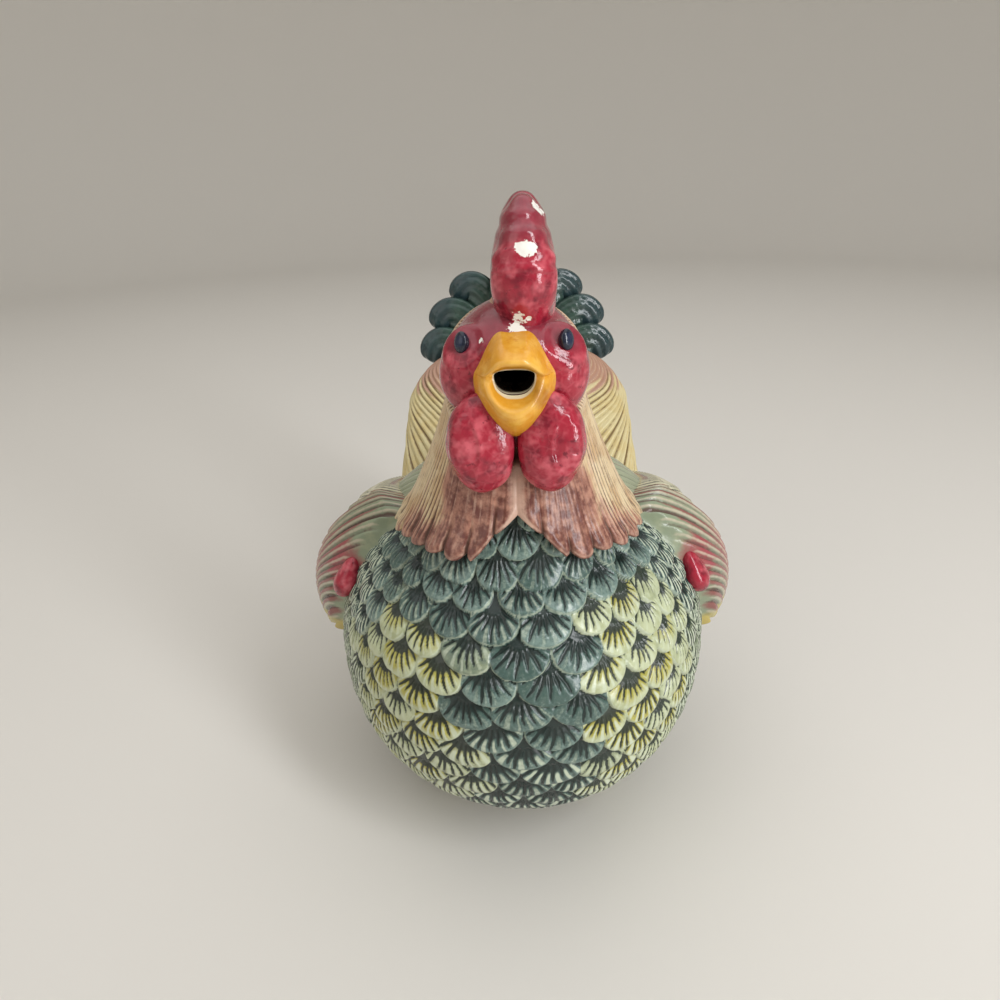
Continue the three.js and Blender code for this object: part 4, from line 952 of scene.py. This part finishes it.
def make_wings():
    """Thick patches on the flanks: a plump pad of long coverts at the front, whose shallow grooves sweep out
    and then down to the red lobe, over barbed flight feathers that overlap downwards."""
    up, along = grid(np.linspace(0, 1, WING_GRID[0]), np.linspace(0, 1, WING_GRID[1]) ** 1.5)
    angle, z = wing_place(along, up)
    skin = around(body_radius(angle, z), angle, z)
    rising = np.sin(np.pi / 2 * np.clip(along / WING_CREST, 0, 1))
    falling = np.cos(np.pi / 2 * np.clip((along - WING_CREST) / (1 - WING_CREST), 0, 1)) ** 0.8
    swell = rising * falling * np.sqrt(np.clip(np.sin(np.pi * up ** 0.8), 0, 1))
    to_edge = np.minimum(np.minimum(up, 1 - up), 1 - along)
    sunk = np.maximum(ease(0.05, 0, along), ease(0.07, 0, to_edge))
    thickness = mix(WING_EDGE, WING_THICKNESS, swell) - WING_SINK * sunk

    # Coverts
    forward = along ** 0.6
    line = (up + 2.6 * forward ** 2) * 10 + 0.8 * wander(forward * 10, up * 8, 1.0)
    phase = over_strand(line)
    own = chance(np.floor(line), 0, 4.0)
    reach = ((forward / 0.47) ** 4 + ((1 - up) / 0.95) ** 4) ** 0.25
    reach = reach - 0.02 * np.cos(np.pi * phase) - 0.03 * (own - 0.5)
    covert = ease(1.02, 0.98, reach)
    begins = 0.10 * own
    started = ease(begins, begins + 0.08, forward)
    furrow = ease(0.35, 0.95, np.abs(phase)) * started * (0.5 + 0.5 * chance(np.round(line), 0, 7.0))
    pad = 1.0 + 0.7 * (1 - phase ** 2) * started - 0.45 * furrow

    # Flight feathers, with short ticks across them in front
    tick = ease(0.45, 0.85, 0.5 + 0.5 * np.cos(2 * np.pi * (z + 40 * along) / 2.0))
    vane = up * 6.2 - 1.5 * (along - 0.3) * (1 - up)
    vane_row = np.floor(vane)
    vane_across = 2 * (vane - vane_row) - 1
    barb, barb_groove = barbed_vane(along, vane_across, 70, 1.9, 2.6, 3.0)
    barbed = ease(0.35, 0.5, along)
    flight = mix(0.5 - 0.35 * tick, 0.8 * (1 - vane + vane_row) ** 0.8 + 0.3 * barb, barbed)
    groove = mix(tick, np.maximum(barb_groove, ease(0.88, 1.0, vane_across)), barbed)

    points = raised(skin, 0.3 + thickness + (mix(flight, pad, covert) - 1.0) * (1 - sunk), False)
    over_lobe = z - SHOULDER_HEIGHT
    beside_lobe = (np.degrees(angle) - SHOULDER_ANGLE) * 0.6
    from_lobe = np.hypot(beside_lobe, over_lobe / mix(1.0, 1.7, ease(-3, 3, over_lobe)))
    outer_blush = 0.85 * ease(0.2, 0.45, forward) * ease(0.9, 0.5, up) * ease(0.05, 0.3, up)
    stripe = hump(0.4, 0.7, phase) * mix(0.4, 1, ease(0.2, 0.5, own))
    stripe = stripe * ease(0.08, 0.30, forward + 0.25 * (0.6 - up))
    fields = {
        "covert": covert,
        "groove": np.clip(groove, 0, 1) * (1 - covert),
        "furrow": furrow * covert,
        "stripe": np.clip(1.5 * stripe * covert, 0, 1),
        # Painted highlight: cream along one side of each covert's rounded top
        "ridge": np.clip(hump(-0.45, 0.25, phase) * started * covert, 0, 1),
        "blush": np.maximum(ease(6.0, 2.0, from_lobe), outer_blush) * covert,
        "tip": ease(0.26, 0.08, up + 0.05 * wander(along * 12, up * 3, 2.0)),
        "edge": ease(0.55, 0.95, -vane_across) * (1 - covert) * ease(0.40, 0.55, along),
    }
    make_pair("wing", points, "wing_glaze", fields)


def make_shoulders():
    """The smooth red lobe at the front of each wing: a globe drawn out upwards, where it runs into the
    coverts, and blunt below, where it leans out."""
    direction = globe(SHOULDER_GRID)
    angle, z = np.radians(SHOULDER_ANGLE), np.float64(SHOULDER_HEIGHT)
    centre = around(body_radius(angle, z) + SHOULDER_STAND, angle, z)
    rise = direction[..., 2]
    upper = ease(-0.2, 1, rise)
    narrow, taller = mix(1.0, 0.75, upper), mix(0.9, 1.1, upper)
    skin = direction * SHOULDER_RADII * np.stack([narrow, narrow, taller], axis=-1)
    skin[..., 0] -= 0.30 * skin[..., 2]
    level = centre * np.array([1.0, 1.0, 0.0])
    skin = centre + skin - SHOULDER_SINK * level / np.linalg.norm(level)
    fields = {"chip": np.full_like(rise, -1.0), "dust": 0 * rise, "vein": 0 * rise}
    make_pair("shoulder", skin, "red_glaze", fields, **CLOSED)


# Tail

def make_saddle():
    """The raised tail base: level ovals that lean back and close in a dome, covered with long drooping
    strands and hollowed where it meets the filling lip."""
    along, angle = ring_grid(0, 1, SADDLE_GRID)
    dome = np.sqrt(np.clip(1 - np.maximum(along - 0.62, 0) ** 2 * 6.9, 0.0004, 1))
    wide = mix(SADDLE_BOTTOM_HALF_WIDTH, SADDLE_TOP_HALF_WIDTH, along) * dome
    deep = mix(SADDLE_BOTTOM_HALF_DEPTH, SADDLE_TOP_HALF_DEPTH, along) * dome
    y = mix(SADDLE_BOTTOM_Y, SADDLE_TOP_Y, along) - deep * np.cos(angle)
    skin = np.stack([wide * np.sin(angle), y, mix(SADDLE_BOTTOM, SADDLE_TOP, along)], axis=-1)
    droop = np.abs(off_breast(angle)) - 1.0 * along - 2.2 * along ** 3
    line = droop * SADDLE_STRANDS / (2 * np.pi) + 0.7 * wander(along * 9, angle * 5, 2.0)
    strand = over_strand(line)
    own = chance(np.floor(line), 0, 6.0)
    groove = ease(0.35, 0.95, np.abs(strand)) * (0.25 + 0.75 * chance(np.round(line), 0, 6.0))
    height = 0.5 * (1 - strand ** 2) + 0.3 * (own - 0.5) - 0.35 * groove
    points = raised(skin, height * ease(1.0, 0.9, along), True)
    clear = 2 * LIP_RADIUS + LIP_GAP
    lip = oval_share(points[..., 0], points[..., 1], FILLER_Y, FILLER_HALF_WIDTH + clear,
                     FILLER_HALF_LENGTH + clear)
    push = np.where(lip < 1, 1 / np.maximum(lip, 0.05), 1)[..., None]
    middle = np.array([0.0, FILLER_Y])
    points[..., :2] = middle + (points[..., :2] - middle) * push
    fields = {
        "groove": groove,
        "ridge": 1 - np.abs(strand),
        "crest": ease(0.66, 0.80, along + 0.04 * np.sin(line * 3)),
        "shade": ease(0.35, 0.0, along),
    }
    make_piece("saddle", points, "saddle_glaze", "tail_saddle", fields, wrap=True, caps=("end",),
               keep=outside_body(points))


def feather_relief(along, angle, length, ribs, seed):
    """Lengthwise ribs and faint slanting barbs on both broad sides of a strap-shaped tail feather."""
    across = np.cos(angle)
    rib = 0.5 + 0.5 * np.cos(np.pi * ribs * across)
    barb, groove = barbed_vane(along, across, length, 2.2, 3.2, seed)
    face = ease(0.15, 0.5, np.abs(np.sin(angle)))
    return (0.4 * rib + 0.12 * barb) * face, np.clip(groove * 0.2 + (1 - rib) ** 2, 0, 1) * face


def sickle_fullness(along):
    """A tail feather's thickness along it: it thickens, then rounds off over its last quarter."""
    return mix(0.75, 1, along) * np.sqrt(np.clip(1 - np.maximum(0, along * 4 - 3) ** 2, 0.004, 1))


def handle_fullness(along):
    """The handle's thickness along it: slimmer half way."""
    return 1 - 0.18 * np.sin(np.pi * along)


def make_sickles():
    """Drooping tail feathers: oval straps that thicken and then round off at the tip, with ribs along
    them."""
    for number, (which, knots) in enumerate(SICKLES.items()):
        points, along, angle = strap(knots, SICKLE_HALF_THICKNESS, SICKLE_HALF_WIDTH, (0, 1, 0),
                                     sickle_fullness, SICKLE_GRID)
        relief, groove = feather_relief(along, angle + np.pi / 2, SICKLE_LENGTH, 4, 3.0 + number)
        points = raised(points, 0.9 * relief * ease(1.0, 0.9, along) * ease(0.25, 0.5, along), True)
        # The ribs are painted paler: worn glaze and a painted highlight
        ridge = np.clip(1.1 * relief, 0, 1)
        fields = {"groove": 0.6 * groove, "ridge": ridge, "sheen": ease(0.3, 0.8, along)}
        make_pair(f"sickle_{which}", points, "tail_glaze", fields, **CLOSED)


def make_handle():
    """The long tail feather that loops down to the rump: an oval strap, slimmer half way, with ribs and
    barbs."""
    points, along, angle = strap(HANDLE_LINE, HANDLE_HALF_WIDTH, HANDLE_HALF_THICKNESS, (1, 0, 0),
                                 handle_fullness, HANDLE_GRID)
    relief, groove = feather_relief(along, angle, HANDLE_LENGTH, 5, 1.0)
    points = raised(points, relief, True)
    sheen = ease(0.3, 0.5, along) * ease(0.8, 0.6, along)
    # The ribs are painted paler: worn glaze and a painted highlight
    fields = {"groove": groove, "ridge": np.clip(1.4 * relief, 0, 1), "sheen": sheen}
    make_piece("handle_feather", points, "tail_glaze", "tail_handle", fields, wrap=True, caps=("start",),
               keep=outside_body(points))


# Materials

FACTOR, UNDER, OVER, RESULT = 0, 6, 7, 2
VEIN_SLOPE = 4.0
RIPPLE_MM, GRAIN_MM = 2.2, 0.35

# A coat of glaze: the field that says where it lies, or None for mottling; the values at which it starts and
# is full; its colour; how far noise roughens it, and the noise's grain in mm; how much it covers; the noise's
# detail; and, for veins, the size in mm of the cells whose borders it keeps to.
Coat = namedtuple("Coat", "field start end hex rough grain cover detail cells", defaults=(1.0, 3.0, None))


def linear(code):
    """An sRGB hex colour as linear red, green, blue and alpha."""
    channels = [int(code[i:i + 2], 16) / 255 for i in (0, 2, 4)]
    return (*[c / 12.92 if c <= 0.04045 else ((c + 0.055) / 1.055) ** 2.4 for c in channels], 1.0)


def add_node(tree, kind, inputs=None, **settings):
    """Adds a node, sets it, and links or fills its inputs."""
    node = tree.nodes.new(kind)
    for key, value in settings.items():
        setattr(node, key, value)
    for key, value in (inputs or {}).items():
        if isinstance(value, bpy.types.NodeSocket):
            tree.links.new(value, node.inputs[key])
        else:
            node.inputs[key].default_value = value
    return node


def painted(tree, place, base, coats):
    """Colour of a base glaze under coats of others. A coat lies where its field, roughened by noise, passes
    from its start to its end; mottling has noise alone, and veins fade away from the borders of cells."""
    colour = linear(base)
    for coat in coats:
        value = 0.5
        if coat.field:
            value = add_node(tree, "ShaderNodeAttribute", attribute_name=coat.field).outputs["Fac"]
        noise = add_node(tree, "ShaderNodeTexNoise", {
            "Vector": place, "Scale": 1 / (coat.grain * MM), "Detail": coat.detail, "Roughness": 0.6})
        centred = add_node(tree, "ShaderNodeMath", {0: noise.outputs["Fac"], 1: 0.5}, operation="SUBTRACT")
        roughened = {0: centred.outputs[0], 1: coat.rough, 2: value}
        value = add_node(tree, "ShaderNodeMath", roughened, operation="MULTIPLY_ADD").outputs[0]
        if coat.cells:
            border = add_node(tree, "ShaderNodeTexVoronoi", {"Vector": place, "Scale": 1 / (coat.cells * MM)},
                              feature="DISTANCE_TO_EDGE")
            fading = {0: border.outputs["Distance"], 1: -VEIN_SLOPE, 2: value}
            value = add_node(tree, "ShaderNodeMath", fading, operation="MULTIPLY_ADD").outputs[0]
        span = {"Value": value, "From Min": coat.start, "From Max": coat.end, "To Max": coat.cover}
        mask = add_node(tree, "ShaderNodeMapRange", span, interpolation_type="SMOOTHSTEP")
        layers = {FACTOR: mask.outputs["Result"], UNDER: colour, OVER: linear(coat.hex)}
        colour = add_node(tree, "ShaderNodeMix", layers, data_type="RGBA").outputs[RESULT]
    return colour


def glazed(name, base, coats, roughness, ripple=0.12, grain=0.03):
    """Glazed earthenware: painted colour under a clear, hard and slightly uneven gloss. Noise of two sizes,
    with depths in millimetres, bends its reflections as a dipped glaze does."""
    material = bpy.data.materials.new(name)
    material.use_nodes = True
    tree = material.node_tree
    tree.nodes.clear()
    place = add_node(tree, "ShaderNodeTexCoord").outputs["Object"]
    colour = painted(tree, place, base, coats)
    relief = {}
    for size, depth in ((RIPPLE_MM, ripple), (GRAIN_MM, grain)):
        waves = {"Vector": place, "Scale": 1 / (size * MM), "Detail": 2.0}
        noise = add_node(tree, "ShaderNodeTexNoise", waves)
        height = {"Height": noise.outputs["Fac"], "Distance": depth * MM, "Strength": 1.0}
        relief = {"Normal": add_node(tree, "ShaderNodeBump", {**height, **relief}).outputs["Normal"]}
    shader = add_node(tree, "ShaderNodeBsdfPrincipled", {
        "Base Color": colour, "Roughness": roughness, "IOR": 1.5, **relief})
    add_node(tree, "ShaderNodeOutputMaterial", {"Surface": shader.outputs["BSDF"]})
    return material


def make_glazes():
    """One glaze for each slot of the record."""
    return {
        # Green stain wiped off the raised feathers, over yellow and cream: dark in grooves, pale on rims,
        # with painted shade at each feather's root.
        "breast_glaze": glazed("glazed_earthenware_breast", "BEC5A0", [
            Coat(None, 0.42, 0.62, "A3AA82", 1.0, 3.0, 0.8, 6.0),
            Coat("yellow", 0.15, 0.8, "ABA238", 0.8, 2.0, 0.85),
            Coat("olive", 0.25, 0.8, "53614A", 0.4, 2.5, 0.9),
            Coat("teal", 0.3, 0.75, "3B5653", 0.3, 1.2, 0.95),
            Coat("frost", 0.3, 1.1, "98AFA6", 1.5, 0.7, 0.5, 6.0),
            Coat("pale", 0.25, 0.85, "CDD6BE", 0.4, 0.7, 0.85),
            # Stain in the grooves and valleys, and painted shade at the feather roots
            Coat("stain_and_root_shade", 0.25, 0.8, "1F2C29", 0.7, 0.6, 0.95),
            Coat("sage", 0.3, 0.7, "9FA58A", 0.2, 3.0),
            Coat("brush", 0.3, 0.9, "9C5A52", 0.5, 1.5, 0.75),
            Coat("furrow", 0.4, 1.0, "3F4637", 0.4, 1.0, 0.75),
        ], 0.22),
        # Cream feathers with brown brushed into the strands, a sponged brown-red wash in front, and a painted
        # highlight along each strand's top.
        "hackle_glaze": glazed("glazed_earthenware_hackle", "D9C49E", [
            Coat(None, 0.4, 0.65, "BE986C", 1.0, 6.0, 0.7),
            Coat("crown", 0.2, 0.9, "B58A78", 0.4, 3.0, 0.7),
            Coat("wash", 0.25, 0.75, "B07B6A", 0.5, 2.5, 0.9),
            Coat("wash", 0.45, 1.35, "5F2B26", 2.6, 1.8, 0.9, 10.0),
            Coat("streak", 0.75, 1.2, "D2AE9A", 1.0, 1.6, 0.6),
            Coat("streak", 0.38, -0.1, "54291F", 1.0, 1.6, 0.6),
            Coat("bare", 0.35, 1.0, "D6B39E", 0.6, 1.0, 0.8),
            Coat("groove", 0.25, 0.8, "5A3A2E", 0.4, 1.2, 0.9),
            # Painted highlight along the strand tops, and the pale edge round the face
            Coat("ridge", 0.8, 1.0, "E6D6B6", 0.3, 1.0, 0.45),
        ], 0.30),
        # Thick crimson glaze that breaks pale over lumps, pools dark in dents and has come off in chips.
        "red_glaze": glazed("glazed_earthenware_crimson", "A4283A", [
            Coat(None, 0.44, 0.68, "6E1527", 1.0, 3.4, 0.8, 2.0),
            Coat(None, 0.46, 0.7, "D0626D", 1.0, 3.0, 0.85, 2.5),
            Coat("vein", 0.4, 1.0, "C4525E", 2.2, 2.0, 0.3, cells=1.9),
            Coat(None, 0.62, 0.72, "651425", 1.0, 1.2, 0.75),
            Coat("dust", 0.2, 1.0, "86333F", 0.4, 2.0, 0.8),
            Coat("chip", 0.02, 0.1, "F0EDE4", 1.5, 0.8),
        ], 0.10),
        # Amber glaze brushed over cream, darker where it runs into creases and bare at the mouth's edge, with
        # a painted highlight along the lip.
        "amber_glaze": glazed("glazed_earthenware_amber", "DE9C2E", [
            Coat(None, 0.4, 0.68, "EDB850", 1.0, 3.5, 0.8),
            Coat(None, 0.58, 0.75, "CB7A1C", 1.0, 2.4, 0.6),
            # Painted highlight along the lip
            Coat("wear_and_highlight", 0.3, 1.0, "EDBE62", 0.6, 1.5, 0.4),
            Coat("crease", 0.3, 0.9, "B9721E", 0.3, 1.0, 0.6),
            # Brown patch inside the right of the lip
            Coat("brown_patch", 0.2, 0.9, "9A5A1A", 0.5, 1.2, 0.6),
            Coat("mouth", 0.3, 0.8, "EADBB8", 0.4, 1.0),
        ], 0.2),
        # Nearly black blue glaze, a drop thick, with a hint of its blue in the middle.
        "eye_glaze": glazed("glazed_earthenware_eye", "1B2131", [
            Coat("pupil", 0.3, 0.9, "2A3550", 0.3, 0.8, 0.6),
        ], 0.08, ripple=0.05),
        # Pale sage with dark stain in the grooves, maroon brushed between them, cream quills and yellow tips,
        # and a painted cream highlight along each covert.
        "wing_glaze": glazed("glazed_earthenware_wing", "D4CDAE", [
            Coat("covert", 0.3, 0.7, "8D987E", 0.2, 2.0),
            Coat(None, 0.45, 0.7, "A9AC8C", 1.0, 4.0, 0.5, 6.0),
            Coat("stripe", 0.25, 0.9, "8F4748", 0.7, 1.8, 0.85),
            Coat("blush", 0.2, 1.0, "A03C49", 0.9, 2.0, 0.85),
            # Painted highlight along the coverts
            Coat("ridge", 0.4, 1.0, "CDBFA9", 0.9, 1.5, 0.7),
            Coat("furrow", 0.25, 0.85, "573531", 0.6, 1.5, 0.85),
            Coat("tip", 0.3, 0.8, "C6B760", 0.3, 2.0, 0.8),
            Coat("edge", 0.4, 0.9, "A05A54", 0.5, 2.0, 0.7),
            Coat("groove", 0.3, 0.8, "2E372A", 0.5, 1.0, 0.9),
        ], 0.24),
        # Straw yellow with brown rubbed into the long grooves and a pink-brown crest.
        "saddle_glaze": glazed("glazed_earthenware_saddle", "CFC192", [
            Coat(None, 0.42, 0.66, "C9B377", 1.0, 5.0, 0.7),
            Coat("crest", 0.3, 0.8, "A9796A", 0.5, 2.5, 0.85),
            Coat("shade", 0.2, 0.9, "8D7A5C", 0.3, 3.0, 0.6),
            Coat("groove", 0.28, 0.8, "7A6038", 0.6, 1.2, 0.9),
            Coat("ridge", 0.75, 1.0, "E2D8AC", 0.5, 1.5, 0.5),
        ], 0.28),
        # Bottle green, almost black where it pools, grey-green on the ribs from wear and a painted highlight,
        # and a painted bluish sheen further along.
        "tail_glaze": glazed("glazed_earthenware_tail", "2E423A", [
            Coat(None, 0.42, 0.65, "3E564B", 1.0, 4.0, 0.7),
            Coat("sheen", 0.3, 1.0, "2B3B48", 0.4, 4.0, 0.55),
            # Worn glaze and a painted highlight on the ribs
            Coat("ridge", 0.55, 1.0, "7C9286", 0.5, 1.2, 0.7),
            Coat("groove", 0.4, 0.9, "141F1B", 0.3, 1.0, 0.8),
        ], 0.18),
        # Ivory glaze with the faint freckles of an iron-bearing clay below it, and painted shade, near black,
        # deep in the neck and throat.
        "cream_glaze": glazed("glazed_earthenware_ivory", "E6DCC2", [
            Coat(None, 0.5, 0.72, "D3C2A0", 1.0, 5.0, 0.6),
            Coat(None, 0.7, 0.76, "9A7A58", 1.0, 0.8, 0.5),
            # Painted shade deep inside the neck and throat
            Coat("inside", 0.1, 1.0, "1E150E", 0.2, 2.0),
        ], 0.22),
        # Dry buff clay, scuffed by the table: no glaze, so no gloss.
        "bare_clay": glazed("bare_buff_clay", "CDB597", [
            Coat(None, 0.45, 0.65, "B99C7C", 1.0, 3.0, 0.7),
            Coat(None, 0.62, 0.7, "8F7558", 1.0, 0.6, 0.5),
        ], 0.85, ripple=0.05, grain=0.08),
    }


# Floor, light and camera

def make_stage():
    """A round pale floor that sweeps up into a wall all the way round: a bend of constant radius."""
    material = bpy.data.materials.new("matt_pale_paper")
    material.use_nodes = True
    shader = material.node_tree.nodes["Principled BSDF"]
    shader.inputs["Base Color"].default_value = linear("DDD9D2")
    shader.inputs["Roughness"].default_value = 0.9
    bend = np.radians(np.linspace(0, 90, 24))
    sweep = FLOOR_RADIUS + BEND_RADIUS * np.sin(bend)
    radius = np.concatenate([[20.0, 300.0], sweep, [FLOOR_RADIUS + BEND_RADIUS]])
    height = np.concatenate([[0.0, 0.0], BEND_RADIUS * (1 - np.cos(bend)), [WALL_HEIGHT]])
    level, angle = grid(np.arange(len(radius)), turn(FLOOR_SIDES))
    points = around(radius[level], angle, height[level]).reshape(-1, 3) * MM
    index = np.arange(len(points)).reshape(level.shape)
    right = np.roll(index, -1, 1)
    quads = np.stack([index[1:], right[1:], right[:-1], index[:-1]], axis=2).reshape(-1, 4)
    mesh = bpy.data.meshes.new("floor")
    mesh.from_pydata(points.tolist(), [], quads.tolist() + [list(range(FLOOR_SIDES))])
    mesh.polygons.foreach_set("use_smooth", np.ones(len(mesh.polygons), bool))
    mesh.materials.append(material)
    floor = bpy.data.objects.new("floor", mesh)
    bpy.context.scene.collection.objects.link(floor)


def make_lamp(name, place, target, width, height, power, colour):
    """A rectangular soft box aimed at a point, in metres."""
    lamp = bpy.data.lights.new(name, "AREA")
    lamp.shape = "RECTANGLE"
    lamp.size, lamp.size_y = width, height
    lamp.energy = power
    lamp.color = colour
    box = bpy.data.objects.new(name, lamp)
    x, y, z = np.array(target) - np.array(place)
    box.location = place
    box.rotation_euler = (math.atan2(math.hypot(x, y), -z), 0, math.atan2(-x, y))
    bpy.context.scene.collection.objects.link(box)


def make_light():
    """A tall window-like soft box to the right, a broad fill to the left, one overhead and a pale room."""
    middle = (0.0, -0.02, 0.07)
    make_lamp("window", (0.42, -0.42, 0.34), middle, 0.11, 0.80, 3.7, (0.95, 0.97, 1.0))
    make_lamp("fill", (-0.55, -0.40, 0.40), middle, 0.6, 0.6, 0.9, (1.0, 0.98, 0.95))
    make_lamp("overhead", (0.0, 0.10, 0.80), middle, 1.1, 1.1, 3.0, (1.0, 1.0, 1.0))
    world = bpy.data.worlds.new("room")
    world.use_nodes = True
    background = world.node_tree.nodes["Background"]
    background.inputs["Color"].default_value = linear("F2F1EE")
    background.inputs["Strength"].default_value = 0.42
    bpy.context.scene.world = world


def make_camera():
    """The photograph's viewpoint: above and in front, looking down, with a slight roll."""
    camera = bpy.data.cameras.new("camera")
    camera.lens, camera.sensor_width = CAMERA_LENS, CAMERA_SENSOR
    camera.clip_start = 0.01
    holder = bpy.data.objects.new("camera", camera)
    holder.location = CAMERA_PLACE * MM + FOOT_CENTRE
    yaw = Matrix.Rotation(math.radians(CAMERA_YAW), 3, "Z")
    tilt = Matrix.Rotation(math.radians(90 - CAMERA_PITCH), 3, "X")
    roll = Matrix.Rotation(math.radians(-CAMERA_ROLL), 3, "Z")
    holder.rotation_mode = "QUATERNION"
    holder.rotation_quaternion = (yaw @ tilt @ roll).to_quaternion()
    bpy.context.scene.collection.objects.link(holder)
    bpy.context.scene.camera = holder


bpy.context.scene.view_settings.view_transform = "Standard"
make_camera()
make_light()
make_stage()
GLAZES = make_glazes()
make_body()
make_filler_lip()
make_foot()
make_cape()
make_neck_lining()
make_head()
make_comb()
make_wattles()
make_eyes()
make_beak()
make_wings()
make_shoulders()
make_saddle()
make_sickles()
make_handle()
